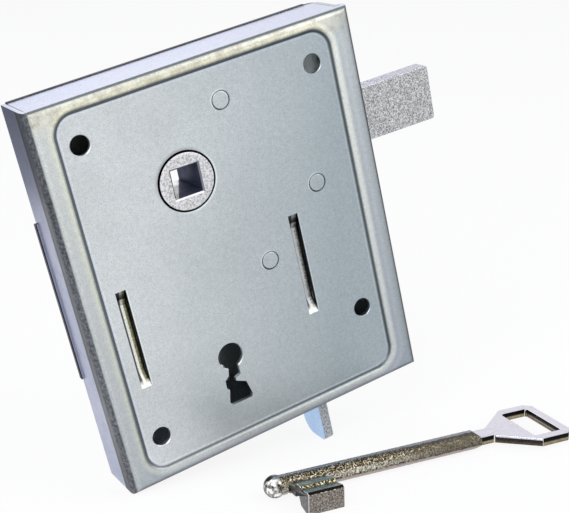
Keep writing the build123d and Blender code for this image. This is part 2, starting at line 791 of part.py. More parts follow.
def night_leaf_rivet():
    """rivet that holds the leaf to the night bolt"""
    x = night_from + leaf_foot / 2
    back = night_y + night_thick / 2 + leaf_thick
    return rod(x, night_z, leaf_rivet_radius, night_y - night_thick / 2, back) \
        + rod(x, night_z, leaf_rivet_head, back, back + leaf_rivet_head_thick)


def key_blank():
    """the key in its own frame: axis along -Y from the ball, bit towards -Z"""
    body = shaft() + Sphere(ball_radius)
    body -= neck_ring()
    return body + bit() + bow()


def shaft():
    """round shaft, sloped off above and below to the bow's thickness"""
    half = bow_thick / 2
    profile = polygon([(0, shaft_radius), (-shaft_long + shaft_slope, shaft_radius), (-shaft_long, half),
                       (-shaft_long - running, half), (-shaft_long - running, -half), (-shaft_long, -half),
                       (-shaft_long + shaft_slope, -shaft_radius), (0, -shaft_radius)])
    lengthwise = Plane(origin=(0, 0, 0), x_dir=(0, 1, 0), z_dir=(0, 0, 1)) * profile
    across = extrude(lengthwise, amount=shaft_radius, both=True)
    return rod(0, 0, shaft_radius, -shaft_long - running, 0) & across


def bit():
    """the bit, its outer corners rounded"""
    body = plate(Pos(0, key_down) * bit_section(), -bit_from_ball - bit_wide, -bit_from_ball)
    corners = body.faces().sort_by(Axis.Z)[0].edges().filter_by(Axis.X)
    return fillet(corners, bit_round)


def neck_ring():
    """shallow groove behind the ball"""
    ring = Torus(shaft_radius + ball_neck, 2 * ball_neck)
    return Pos(0, -ball_radius - ball_neck, 0) * Rot(90, 0, 0) * ring


def bit_section():
    """the bit's outline, run into the shaft"""
    neck = bit_reach * bit_shares[0][1] + 2 * bit_play
    root = Rectangle(bit_reach * (bit_shares[0][0] - bit_shares[-1][0]) - 2 * bit_play, neck)
    return keyhole(bit_play) + Pos(0, key_z - neck / 2) * root


def bow():
    """flat bow with a wide opening, lying in the plane of the bit"""
    half = bow_wide / 2
    neck = shaft_long - collar_long / 4
    flare = shaft_long + collar_long
    side = flare + bow_flare_long
    cut = side + bow_side_long
    end = cut + bow_corner_cut
    outline = polygon([
        (neck, -collar_half), (flare, -collar_half), (side, -half), (cut, -half),
        (end, -half + bow_corner_cut), (end, half - bow_corner_cut),
        (cut, half), (side, half), (flare, collar_half), (neck, collar_half),
    ])
    hole = Pos(end - bow_end_rim - bow_hole_long / 2, 0) * RectangleRounded(
        bow_hole_long, bow_wide - 2 * bow_side_rim, bow_hole_round)
    flat = extrude(outline - hole, amount=bow_thick / 2, both=True)
    flat = chamfer([e for side in (0, -1) for e in flat.faces().sort_by(Axis.Z)[side].edges()], bow_edge)
    return Plane(origin=(0, 0, 0), x_dir=(0, -1, 0), z_dir=(1, 0, 0)) * flat


def key():
    """the key lying on the floor that the lock's corner and tab stand on"""
    slope = atan2(tab_reach, tab_x + tab_thick / 2 - left)
    along = Vector(cos(slope), 0, -sin(slope))
    up = Vector(sin(slope), 0, cos(slope))
    turn = radians(key_turn)
    shaft_way = along * cos(turn) + Vector(0, 1, 0) * sin(turn)
    place = Vector(left, -key_out_front, foot) + along * key_along_floor + up * ball_radius
    return Plane(origin=place, x_dir=-up, z_dir=up.cross(shaft_way)) * key_blank()


parts = {
    "case_cover": case_cover,
    "base_plate": base_plate,
    "latch_spring_post": lambda: stepped_post(spring_post_x, spring_post_z, spring_post_radius),
    "latch_stop_post": lambda: stepped_post(stop_post_x, stop_post_z(), stop_post_radius),
    "bolt_guide_post": guide_post,
    "back_plate_screws": back_screws,
    "lifting_latch": lifting_latch,
    "latch_spring": latch_spring,
    "deadbolt_plate": deadbolt_plate,
    "deadbolt_head": deadbolt_head,
    "deadbolt_rivets": deadbolt_rivets,
    "deadbolt_stump": deadbolt_stump,
    "tumbler_lever": tumbler_lever,
    "tumbler_spring": tumbler_spring,
    "tumbler_sleeve": tumbler_sleeve,
    "night_bolt": night_bolt,
    "night_bolt_tab": night_bolt_tab,
    "night_bolt_post": night_bolt_post,
    "night_bolt_leaf": night_bolt_leaf,
    "night_leaf_rivet": night_leaf_rivet,
    "key": key,
}

os.makedirs("parts", exist_ok=True)
for node, make in parts.items():
    shape = make()
    solids = shape if isinstance(shape, list) else [shape]
    solids = [solid for piece in solids for solid in piece.solids()]
    whole = Compound(children=solids) if len(solids) > 1 else solids[0]
    export_step(whole, f"parts/{node}.step")
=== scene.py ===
import bpy
import math
import numpy as np
from mathutils import Matrix, Vector


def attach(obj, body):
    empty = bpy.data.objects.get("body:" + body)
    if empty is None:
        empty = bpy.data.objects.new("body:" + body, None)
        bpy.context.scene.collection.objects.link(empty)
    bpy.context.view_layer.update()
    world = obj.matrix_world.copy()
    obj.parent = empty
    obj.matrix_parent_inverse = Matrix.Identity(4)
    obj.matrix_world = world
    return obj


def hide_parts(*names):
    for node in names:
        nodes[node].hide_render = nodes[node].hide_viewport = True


# Looks of the rim lock and its key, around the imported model. Metres, in the model's own frame.

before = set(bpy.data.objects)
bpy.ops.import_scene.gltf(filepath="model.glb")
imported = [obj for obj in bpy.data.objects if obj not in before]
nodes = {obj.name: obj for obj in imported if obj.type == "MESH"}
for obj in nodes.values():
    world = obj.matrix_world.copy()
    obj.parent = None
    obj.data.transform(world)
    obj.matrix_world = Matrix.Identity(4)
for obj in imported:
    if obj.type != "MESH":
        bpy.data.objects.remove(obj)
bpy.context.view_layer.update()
print("frame loaded,", len(nodes), "nodes")


# camera, floor and light

photoView = {
    "place": (-0.12876, -0.34859, 0.11506),
    "right": (0.85054, -0.48422, -0.20523),
    "up": (0.35454, 0.23970, 0.90380),
    "lens": 83.95,
}

floorFinish = {
    "lowCorner": (-0.0403, -0.0848),     # x and z of the case's lower left corner
    "highCorner": (0.0268, -0.0989),     # x and z of the tab's end
    "gap": 0.00015,
    "half": 1.6,
    "colour": (0.93, 0.93, 0.935, 1.0),
    "white": 0.88,                       # share of plain white in what the camera sees
}

lampSettings = [
    {"name": "windowLamp", "place": (-0.55, -0.60, 0.75), "aim": (0.0, 0.0, -0.02), "size": 0.70, "power": 6.5},
    {"name": "sideLamp", "place": (0.75, -0.55, 0.35), "aim": (0.01, 0.0, -0.02), "size": 0.60, "power": 2.6},
    {"name": "backLamp", "place": (0.10, 0.85, 0.75), "aim": (0.01, 0.0, -0.02), "size": 0.80, "power": 1.0},
]

worldLight = {"colour": (0.90, 0.92, 0.96, 1.0), "strength": 0.62}


def placeCamera(view):
    camera = bpy.data.objects.new("photoCamera", bpy.data.cameras.new("photoCamera"))
    bpy.context.scene.collection.objects.link(camera)
    right = Vector(view["right"]).normalized()
    up = Vector(view["up"]).normalized()
    back = right.cross(up)
    turn = Matrix((right, up, back)).transposed()
    camera.matrix_world = Matrix.Translation(view["place"]) @ turn.to_4x4()
    camera.data.lens = view["lens"]
    camera.data.sensor_width = 36.0
    camera.data.clip_start = 0.01
    camera.data.clip_end = 20.0
    bpy.context.scene.camera = camera


def addNode(tree, kind, sockets=None, **settings):
    node = tree.nodes.new(kind)
    for key, value in settings.items():
        setattr(node, key, value)
    for key, value in (sockets or {}).items():
        node.inputs[key].default_value = value
    return node


def join(tree, source, target):
    tree.links.new(source, target)


def shownDirectly(tree):
    # 1 where a ray comes straight from the camera, or is seen in metal or glass
    path = addNode(tree, "ShaderNodeLightPath")
    either = addNode(tree, "ShaderNodeMath", operation="MAXIMUM")
    join(tree, path.outputs["Is Camera Ray"], either.inputs[0])
    join(tree, path.outputs["Is Glossy Ray"], either.inputs[1])
    every = addNode(tree, "ShaderNodeMath", operation="MAXIMUM")
    join(tree, either.outputs[0], every.inputs[0])
    join(tree, path.outputs["Is Transmission Ray"], every.inputs[1])
    return every.outputs[0]


def makeWorld(light):
    world = bpy.data.worlds.new("paleStudio")
    bpy.context.scene.world = world
    world.use_nodes = True
    tree = world.node_tree
    tree.nodes.clear()
    lighting = addNode(tree, "ShaderNodeBackground", {"Color": light["colour"], "Strength": light["strength"]})
    white = addNode(tree, "ShaderNodeBackground", {"Color": (1.0, 1.0, 1.0, 1.0), "Strength": 1.0})
    mix = addNode(tree, "ShaderNodeMixShader")
    join(tree, shownDirectly(tree), mix.inputs[0])
    join(tree, lighting.outputs[0], mix.inputs[1])
    join(tree, white.outputs[0], mix.inputs[2])
    join(tree, mix.outputs[0], addNode(tree, "ShaderNodeOutputWorld").inputs[0])


def floorMaterial(finish):
    # a pale floor that keeps a soft shadow: mostly plain white to the camera, plain matt to every other ray
    material = bpy.data.materials.new("paleFloor")
    material.use_nodes = True
    tree = material.node_tree
    tree.nodes.clear()
    matt = addNode(tree, "ShaderNodeBsdfDiffuse", {"Color": finish["colour"]})
    white = addNode(tree, "ShaderNodeEmission", {"Color": (1.0, 1.0, 1.0, 1.0), "Strength": 1.0})
    share = addNode(tree, "ShaderNodeMath", {1: finish["white"]}, operation="MULTIPLY")
    join(tree, shownDirectly(tree), share.inputs[0])
    mix = addNode(tree, "ShaderNodeMixShader")
    join(tree, share.outputs[0], mix.inputs[0])
    join(tree, matt.outputs[0], mix.inputs[1])
    join(tree, white.outputs[0], mix.inputs[2])
    join(tree, mix.outputs[0], addNode(tree, "ShaderNodeOutputMaterial").inputs[0])
    return material


def makeFloor(finish):
    # the plane through the case's corner and the tab's end, level from front to back
    (x0, z0), (x1, z1) = finish["lowCorner"], finish["highCorner"]
    along = Vector((x1 - x0, 0.0, z1 - z0)).normalized()
    up = Vector((-along.z, 0.0, along.x))
    middle = Vector((x0, 0.0, z0)) - up * finish["gap"]
    half = finish["half"]
    corners = [middle + along * a * half + Vector((0.0, b * half, 0.0))
               for a, b in ((-1, -1), (1, -1), (1, 1), (-1, 1))]
    mesh = bpy.data.meshes.new("paleFloor")
    mesh.from_pydata([tuple(c) for c in corners], [], [(0, 1, 2, 3)])
    floor = bpy.data.objects.new("paleFloor", mesh)
    bpy.context.scene.collection.objects.link(floor)
    mesh.materials.append(floorMaterial(finish))


def makeLamps(lamps):
    for lamp in lamps:
        light = bpy.data.lights.new(lamp["name"], "AREA")
        light.shape = "SQUARE"
        light.size = lamp["size"]
        light.energy = lamp["power"]
        place = Vector(lamp["place"])
        aim = Vector(lamp["aim"]) - place
        shown = bpy.data.objects.new(lamp["name"], light)
        shown.matrix_world = Matrix.Translation(place) @ aim.to_track_quat("-Z", "Y").to_matrix().to_4x4()
        bpy.context.scene.collection.objects.link(shown)


reflectedCards = [
    {"name": "darkCardBehind", "corner": (-0.32, 0.13, -0.036), "sideways": (0.30, 0.0, 0.0),
     "upwards": (0.0, 0.0, 0.22), "colour": (0.33, 0.34, 0.38, 1.0)},
    {"name": "darkCardLeft", "corner": (-0.34, -0.16, -0.045), "sideways": (0.19, 0.0, 0.0),
     "upwards": (0.0, 0.24, 0.0), "colour": (0.05, 0.055, 0.06, 1.0)},
]


def makeCards(cards):
    # dark cards outside the view that only the metal's reflections see
    for card in cards:
        corner, sideways, upwards = (Vector(card[key]) for key in ("corner", "sideways", "upwards"))
        mesh = bpy.data.meshes.new(card["name"])
        corners = [corner, corner + sideways, corner + sideways + upwards, corner + upwards]
        mesh.from_pydata([tuple(c) for c in corners], [], [(0, 1, 2, 3)])
        material = bpy.data.materials.new(card["name"])
        material.use_nodes = True
        tree = material.node_tree
        tree.nodes.clear()
        glow = addNode(tree, "ShaderNodeEmission", {"Color": card["colour"], "Strength": 1.0})
        join(tree, glow.outputs[0], addNode(tree, "ShaderNodeOutputMaterial").inputs[0])
        mesh.materials.append(material)
        shown = bpy.data.objects.new(card["name"], mesh)
        bpy.context.scene.collection.objects.link(shown)
        shown.visible_camera = False
        shown.visible_diffuse = False
        shown.visible_shadow = False


bpy.context.scene.view_settings.view_transform = "Standard"
placeCamera(photoView)
makeWorld(worldLight)
makeFloor(floorFinish)
makeLamps(lampSettings)
makeCards(reflectedCards)
print("camera, floor and light ready")


# finishes

sheetFinish = {
    "light": (0.63, 0.68, 0.69, 1.0),
    "dark": (0.50, 0.55, 0.57, 1.0),
    "cloud": 0.028,                      # size of the cloudy patches
    "grain": 0.00035,                    # size of the rolled grain
    "grainDepth": 0.000012,
    "waveSize": 0.009,
    "waveDepth": 0.00004,
    "smooth": 0.34,
    "rough": 0.50,
}

castFinish = {
    "light": (0.70, 0.71, 0.73, 1.0),
    "middle": (0.37, 0.375, 0.385, 1.0),
    "dark": (0.115, 0.12, 0.13, 1.0),
    "ground": (0.56, 0.57, 0.58, 1.0),
    "groundLow": (0.38, 0.39, 0.37, 1.0),
    "groundHigh": (0.80, 0.79, 0.83, 1.0),
    # painted light and shade: hollow is painted shade in the square hole, mirrored a painted reflection on its foot,
    # the side chamfer painted shade, the foot chamfer a painted highlight and black a painted shadow line round the hub
    "hollow": (0.085, 0.095, 0.165, 1.0),
    "mirrored": (1.0, 1.0, 1.0, 1.0),
    "sideChamferShade": (0.24, 0.25, 0.31, 1.0),
    "footChamferHighlight": (1.0, 1.0, 1.0, 1.0),
    "black": (0.012, 0.012, 0.015, 1.0),
    "speckle": 0.00045,
    "depth": 0.00010,
    "smooth": 0.28,
    "rough": 0.55,
}

keyFinish = {
    "up": (0.2057, 0.0, 0.9786),               # square to the floor that the key lies on
    "along": (0.9767, -0.0628, -0.2053),
    "eye": (-0.388, -0.841, 0.376),            # the side that the ball's painted reflection spots face
    "polished": (0.69, 0.68, 0.76, 1.0),
    # the upper shade, edge and foot colours paint the shaft's light and shade: a dark band along its upper side, a
    # highlight along its top and the floor's reflection underneath; slab, face, end and black paint the bit's sides as
    # light and shade by the way they face
    "upperShade": (0.060, 0.075, 0.105, 1.0),
    "edge": (0.34, 0.38, 0.46, 1.0),
    "foot": (0.43, 0.37, 0.36, 1.0),
    "bowEndDark": (0.105, 0.092, 0.075, 1.0),    # towards the bow
    "slab": (0.22, 0.265, 0.255, 1.0),
    "faceDark": (0.085, 0.072, 0.064, 1.0),
    "face": (0.200, 0.172, 0.145, 1.0),
    "faceLight": (0.38, 0.355, 0.335, 1.0),
    "end": (0.150, 0.150, 0.165, 1.0),
    "black": (0.010, 0.010, 0.013, 1.0),
    "speckle": 0.00050,
    "depth": 0.00012,
}

tabFinish = {
    "light": (0.54, 0.74, 1.0, 1.0),
    "dark": (0.44, 0.60, 0.87, 1.0),
    "edgeLight": (0.56, 0.58, 0.62, 1.0),
    "edgeDark": (0.22, 0.24, 0.28, 1.0),
    "cloud": 0.005,
    "grain": 0.0004,
}

insideFinishes = {
    "turned_steel": {"light": (0.62, 0.63, 0.64, 1.0), "dark": (0.44, 0.45, 0.47, 1.0), "grain": 0.0005},
    "spring_steel": {"light": (0.34, 0.35, 0.38, 1.0), "dark": (0.16, 0.17, 0.20, 1.0), "grain": 0.0008},
    "stamped_steel": {"light": (0.58, 0.57, 0.54, 1.0), "dark": (0.38, 0.37, 0.35, 1.0), "grain": 0.0012},
    "bright_steel_bar": {"light": (0.66, 0.66, 0.66, 1.0), "dark": (0.48, 0.48, 0.50, 1.0), "grain": 0.0009},
}


def startMaterial(name, metallic, roughness):
    material = bpy.data.materials.new(name)
    material.use_nodes = True
    tree = material.node_tree
    shader = tree.nodes["Principled BSDF"]
    shader.inputs["Metallic"].default_value = metallic
    shader.inputs["Roughness"].default_value = roughness
    return material, tree, shader


def objectPlace(tree):
    return addNode(tree, "ShaderNodeTexCoord").outputs["Object"]


def cloudNoise(tree, size, detail=2.0, roughness=0.5, place=None):
    # soft noise whose patches are about as wide as size
    noise = addNode(tree, "ShaderNodeTexNoise", {"Scale": 1.0 / size, "Detail": detail, "Roughness": roughness})
    join(tree, place or objectPlace(tree), noise.inputs["Vector"])
    return noise.outputs["Fac"]


def colourStops(tree, value, stops):
    ramp = addNode(tree, "ShaderNodeValToRGB")
    band = ramp.color_ramp
    while len(band.elements) < len(stops):
        band.elements.new(0.5)
    for element, (at, colour) in zip(band.elements, stops):
        element.position = at
        element.color = colour
    join(tree, value, ramp.inputs[0])
    return ramp.outputs[0]


def spread(tree, value, low, high, fromLow=0.3, fromHigh=0.7):
    # turns noise between fromLow and fromHigh into numbers between low and high
    node = addNode(tree, "ShaderNodeMapRange", {1: fromLow, 2: fromHigh, 3: low, 4: high})
    join(tree, value, node.inputs[0])
    return node.outputs[0]


def blendColours(tree, share, first, second, kind="MIX"):
    mix = addNode(tree, "ShaderNodeMix", data_type="RGBA", blend_type=kind)
    for source, socket in ((share, mix.inputs[0]), (first, mix.inputs[6]), (second, mix.inputs[7])):
        if isinstance(source, (tuple, float)):
            socket.default_value = source
        else:
            join(tree, source, socket)
    return mix.outputs[2]


def addBumps(tree, shader, layers):
    # each layer is a height and the depth in metres that a full step of it stands for
    normal = None
    for height, depth in layers:
        bump = addNode(tree, "ShaderNodeBump", {"Strength": 1.0, "Distance": depth})
        join(tree, height, bump.inputs["Height"])
        if normal:
            join(tree, normal, bump.inputs["Normal"])
        normal = bump.outputs[0]
    join(tree, normal, shader.inputs["Normal"])


def arithmetic(tree, operation, first, second=0.0):
    node = addNode(tree, "ShaderNodeMath", operation=operation)
    for source, socket in ((first, node.inputs[0]), (second, node.inputs[1])):
        if isinstance(source, (int, float)):
            socket.default_value = source
        else:
            join(tree, source, socket)
    return node.outputs[0]


def splitVector(tree, vector):
    split = addNode(tree, "ShaderNodeSeparateXYZ")
    join(tree, vector, split.inputs[0])
    return split.outputs


def objectNormal(tree):
    return addNode(tree, "ShaderNodeTexCoord").outputs["Normal"]


def facing(tree, way):
    # 1 where the surface faces the given way, 0 square to it, -1 behind
    node = addNode(tree, "ShaderNodeVectorMath", {1: way}, operation="DOT_PRODUCT")
    join(tree, objectNormal(tree), node.inputs[0])
    return node.outputs["Value"]


def attribute(tree, name):
    return addNode(tree, "ShaderNodeAttribute", attribute_name=name).outputs["Fac"]


def tintStops(tree, value, low, high, stops):
    # colours along a value that runs from low to high, each stop a value and its colour or grey
    share = addNode(tree, "ShaderNodeMapRange", {1: low, 2: high, 3: 0.0, 4: 1.0})
    join(tree, value, share.inputs[0])
    filled = [(at, (g, g, g) if isinstance(g, (int, float)) else g) for at, g in stops]
    return colourStops(tree, share.outputs[0], [((at - low) / (high - low), tuple(c) + (1.0,)) for at, c in filled])


def multiply(tree, first, second):
    return blendColours(tree, 1.0, first, second, "MULTIPLY")


def panelDistance(tree, x, z, finish):
    # how far a place lies outside the sunk panel's rounded rectangle, in metres
    sides = []
    for value, middle, half in zip((x, z), finish["middle"], finish["half"]):
        away = arithmetic(tree, "ABSOLUTE", arithmetic(tree, "SUBTRACT", value, middle))
        sides.append(arithmetic(tree, "SUBTRACT", away, half - finish["corner"]))
    square = [arithmetic(tree, "POWER", arithmetic(tree, "MAXIMUM", side, 0.0), 2.0) for side in sides]
    outside = arithmetic(tree, "SQRT", arithmetic(tree, "ADD", square[0], square[1]))
    inside = arithmetic(tree, "MINIMUM", arithmetic(tree, "MAXIMUM", sides[0], sides[1]), 0.0)
    return arithmetic(tree, "SUBTRACT", arithmetic(tree, "ADD", outside, inside), finish["corner"])


def panelTone(tree, x, z, clouds, finish):
    # painted shade: pale at the left, greyer towards the right and a little towards the foot
    panel = colourStops(tree, clouds, [(0.3, finish["dark"]), (0.7, finish["light"])])
    fall = arithmetic(tree, "SUBTRACT", x, arithmetic(tree, "MULTIPLY", z, 0.20))
    return blendColours(tree, spread(tree, fall, 0.0, 1.0, -0.021, 0.050), panel, finish["shade"])


def grainTone(tree, grain):
    # the fine light and dark grain of rolled zinc with a coarser mottling under it
    fine = tintStops(tree, grain, 0.0, 1.0, [(0.25, 0.72), (0.48, 0.96), (0.75, 1.10)])
    coarse = tintStops(tree, cloudNoise(tree, 0.0012, 2.0), 0.0, 1.0, [(0.3, 0.94), (0.7, 1.04)])
    return multiply(tree, fine, coarse)


def grainedSheet(tree, shader, colour, clouds, grain, finish):
    join(tree, multiply(tree, colour, grainTone(tree, grain)), shader.inputs["Base Color"])
    join(tree, spread(tree, clouds, finish["smooth"], finish["rough"]), shader.inputs["Roughness"])
    addBumps(tree, shader, [(grain, finish["grainDepth"]),
                            (cloudNoise(tree, finish["waveSize"], 1.0), finish["waveDepth"])])


def startSheet(name, finish):
    material, tree, shader = startMaterial(name, 1.0, 0.45)
    return material, tree, shader, cloudNoise(tree, finish["cloud"], 3.0), cloudNoise(tree, finish["grain"], 2.0, 0.6)


coverFinish = {
    "light": (0.715, 0.752, 0.775, 1.0),
    "dark": (0.625, 0.658, 0.680, 1.0),
    "shade": (0.385, 0.445, 0.480, 1.0),       # towards the right
    # rimLow, topWall, topLine, wallHigh, wallLow, rollDark and rollLight are painted light and shade: a darker rim
    # towards the foot, a lighter lilac top wall, a dark line on the top roll, a reflection down the left wall from dark
    # above to pale below and a dark reflection on the left roll
    "rim": (0.655, 0.690, 0.685, 1.0),
    "rimLow": (0.485, 0.520, 0.545, 1.0),
    "cream": (0.76, 0.765, 0.69, 1.0),
    "stain": (0.50, 0.485, 0.43, 1.0),
    "topWall": (0.645, 0.675, 0.81, 1.0),
    "topLine": (0.19, 0.22, 0.24, 1.0),
    "wallHigh": (0.205, 0.225, 0.305, 1.0),
    "wallLow": (0.505, 0.535, 0.69, 1.0),
    "rollDark": (0.095, 0.103, 0.120, 1.0),
    "rollLight": (0.225, 0.240, 0.265, 1.0),
    "middle": (0.00985, -0.0256),              # x and z of the sunk panel's middle
    "half": (0.04265, 0.0545),
    "corner": 0.0055,
    "cornerCrease": -0.0390,                   # x of the fold's joint on the top wall
}

# the bridges' painted light and shade: across runs from a painted highlight on the left to painted shade by the right
# cut, foot is the painted highlight on the lower ramp
bridgeLooks = [
    {"x": -0.0274, "z": -0.0389, "half": 0.0153, "across": [
        (-0.33, 0.10), (-0.24, (0.92, 0.92, 0.86)), (0.16, (0.98, 0.98, 0.92)), (0.30, (0.42, 0.41, 0.26)),
        (0.62, (0.34, 0.33, 0.18)), (0.76, (0.04, 0.04, 0.03))], "foot": (0.98, 0.98, 0.93, 1.0)},
    {"x": 0.0298, "z": -0.0377, "half": 0.0162, "across": [
        (-0.34, 0.12), (-0.24, (0.58, 0.60, 0.62)), (0.15, (0.72, 0.74, 0.74)), (0.50, (0.55, 0.56, 0.56)),
        (0.75, (0.25, 0.25, 0.25)), (0.92, 0.02)], "foot": (0.82, 0.84, 0.78, 1.0)},
]

# painted shadow lines, highlights and soft shadows round the hub and round the three rivets
ringLooks = [
    {"centre": (0.0, 0.0), "dark": [(0.00888, 0.03), (0.00902, 1.0)], "darkWay": (0.0, 0.0),
     "light": [(0.00900, 1.0), (0.00915, 1.5), (0.00935, 1.3), (0.00970, 1.0)], "lightWay": (0.80, -0.60),
     "soft": [(0.0090, 0.60), (0.0095, 0.84), (0.0101, 1.0)], "softWay": (-0.50, 0.87)},
]
ringLooks += [
    {"centre": centre, "dark": [(0.00258, 1.0), (0.00266, 0.08), (0.00284, 0.12), (0.00295, 1.0)],
     "darkWay": (-0.97, -0.25), "light": [(0.00288, 1.0), (0.00302, 1.5), (0.00322, 1.25), (0.0034, 1.0)],
     "lightWay": (-0.75, 0.66), "soft": [(0.0028, 0.80), (0.0031, 1.0)], "softWay": (0.80, 0.60)}
    for centre in ((0.0158, 0.0189), (0.0401, -0.01478), (0.0196, -0.0323))
]


def ringTone(tree, x, z, look):
    # a painted shadow line round a disc, a painted highlight outside it on one side and a painted soft shadow on
    # another
    dx = arithmetic(tree, "SUBTRACT", x, look["centre"][0])
    dz = arithmetic(tree, "SUBTRACT", z, look["centre"][1])
    radius = arithmetic(tree, "SQRT", arithmetic(tree, "ADD", arithmetic(tree, "MULTIPLY", dx, dx),
                                                 arithmetic(tree, "MULTIPLY", dz, dz)))
    low, high = look["dark"][0][0] - 0.0004, look["light"][-1][0] + 0.0004
    tone = None
    for kind, lowest in (("dark", 0.30), ("light", 0.0), ("soft", 0.0)):
        wayX, wayZ = look[kind + "Way"] if kind + "Way" in look else (0.0, 0.0)
        towards = arithmetic(tree, "DIVIDE", arithmetic(tree, "ADD", arithmetic(tree, "MULTIPLY", dx, wayX),
                                                        arithmetic(tree, "MULTIPLY", dz, wayZ)), radius)
        share = 1.0 if (wayX, wayZ) == (0.0, 0.0) else spread(tree, towards, lowest, 1.0, 0.05, 0.75)
        part = blendColours(tree, share, (1.0, 1.0, 1.0, 1.0), tintStops(tree, radius, low, high, look[kind]))
        tone = multiply(tree, tone, part) if tone else part
    return tone


def bridgeTone(tree, colour, x, z, nx, look):
    # a lanced bridge in painted light and shade: a painted highlight on its left side, painted shade by its right cut,
    # a painted dark ramp above and a painted white highlight on the one below
    across = arithmetic(tree, "DIVIDE", arithmetic(tree, "SUBTRACT", x, look["x"]), 0.0016)
    upward = arithmetic(tree, "DIVIDE", arithmetic(tree, "SUBTRACT", z, look["z"]), look["half"])
    streaks = tintStops(tree, cloudNoise(tree, 0.0007, 3.0, 0.7), 0.0, 1.0, [(0.40, 0.55), (0.60, 1.15)])
    strip = multiply(tree, tintStops(tree, across, -1.0, 1.0, look["across"]),
                     blendColours(tree, spread(tree, across, 0.0, 1.0, 0.1, 0.4), (1.0, 1.0, 1.0, 1.0), streaks))
    strip = multiply(tree, strip, tintStops(tree, upward, -1.0, 1.0, [
        (0.80, 1.0), (0.835, 0.05), (0.90, 0.14), (0.98, 0.42)]))
    low = tintStops(tree, upward, -1.0, 1.0, [(-0.94, 1.0), (-0.86, 0.0)])
    strip = blendColours(tree, low, strip, look["foot"])
    # painted black on the cut faces
    cut = spread(tree, arithmetic(tree, "ABSOLUTE", nx), 0.0, 1.0, 0.65, 0.75)
    strip = blendColours(tree, cut, strip, (0.008, 0.008, 0.010, 1.0))
    wide = arithmetic(tree, "ABSOLUTE", across)
    tall = arithmetic(tree, "ABSOLUTE", upward)
    inside = arithmetic(tree, "MULTIPLY", spread(tree, wide, 1.0, 0.0, 1.01, 1.03), spread(tree, tall, 1.0, 0.0, 1.0, 1.01))
    colour = blendColours(tree, inside, colour, strip)
    # a painted bright line beside the bridge
    beside = arithmetic(tree, "MULTIPLY", tintStops(tree, across, 0.9, 1.5, [(1.03, 0.0), (1.06, 1.0), (1.20, 1.0), (1.30, 0.0)]),
                        spread(tree, tall, 1.0, 0.0, 0.97, 1.0))
    return multiply(tree, colour, blendColours(tree, beside, (1.0, 1.0, 1.0, 1.0), (1.30, 1.30, 1.30, 1.0)))


def shoulderTone(tree, away, lower, ny):
    # round the panel, painted shade and highlights: a wide painted dark band at the left and top with a painted cream
    # highlight outside, and at the right and foot two fine lines, a painted bright one and a painted shadow line
    broad = tintStops(tree, away, -0.0014, 0.0036, [
        (-0.0009, 1.0), (-0.0005, (1.10, 1.12, 1.16)), (-0.0002, (0.98, 1.0, 1.05)), (0.0001, (0.17, 0.19, 0.22)),
        (0.0009, (0.24, 0.25, 0.26)), (0.0014, (0.86, 0.85, 0.77)), (0.0018, (1.18, 1.17, 1.04)), (0.0033, 1.0)])
    fine = tintStops(tree, away, -0.0014, 0.0036, [
        (-0.0006, 1.0), (-0.0002, (1.24, 1.24, 1.26)), (0.0001, 0.62), (0.0004, 0.18), (0.0007, 0.45),
        (0.0010, (1.10, 1.09, 1.05)), (0.0016, (1.20, 1.18, 1.13)), (0.0030, 1.0)])
    shoulder = blendColours(tree, lower, broad, fine)
    front = tintStops(tree, ny, -1.0, 0.0, [(-0.60, 1.0), (-0.35, 0.0)])
    return blendColours(tree, front, (1.0, 1.0, 1.0, 1.0), shoulder)


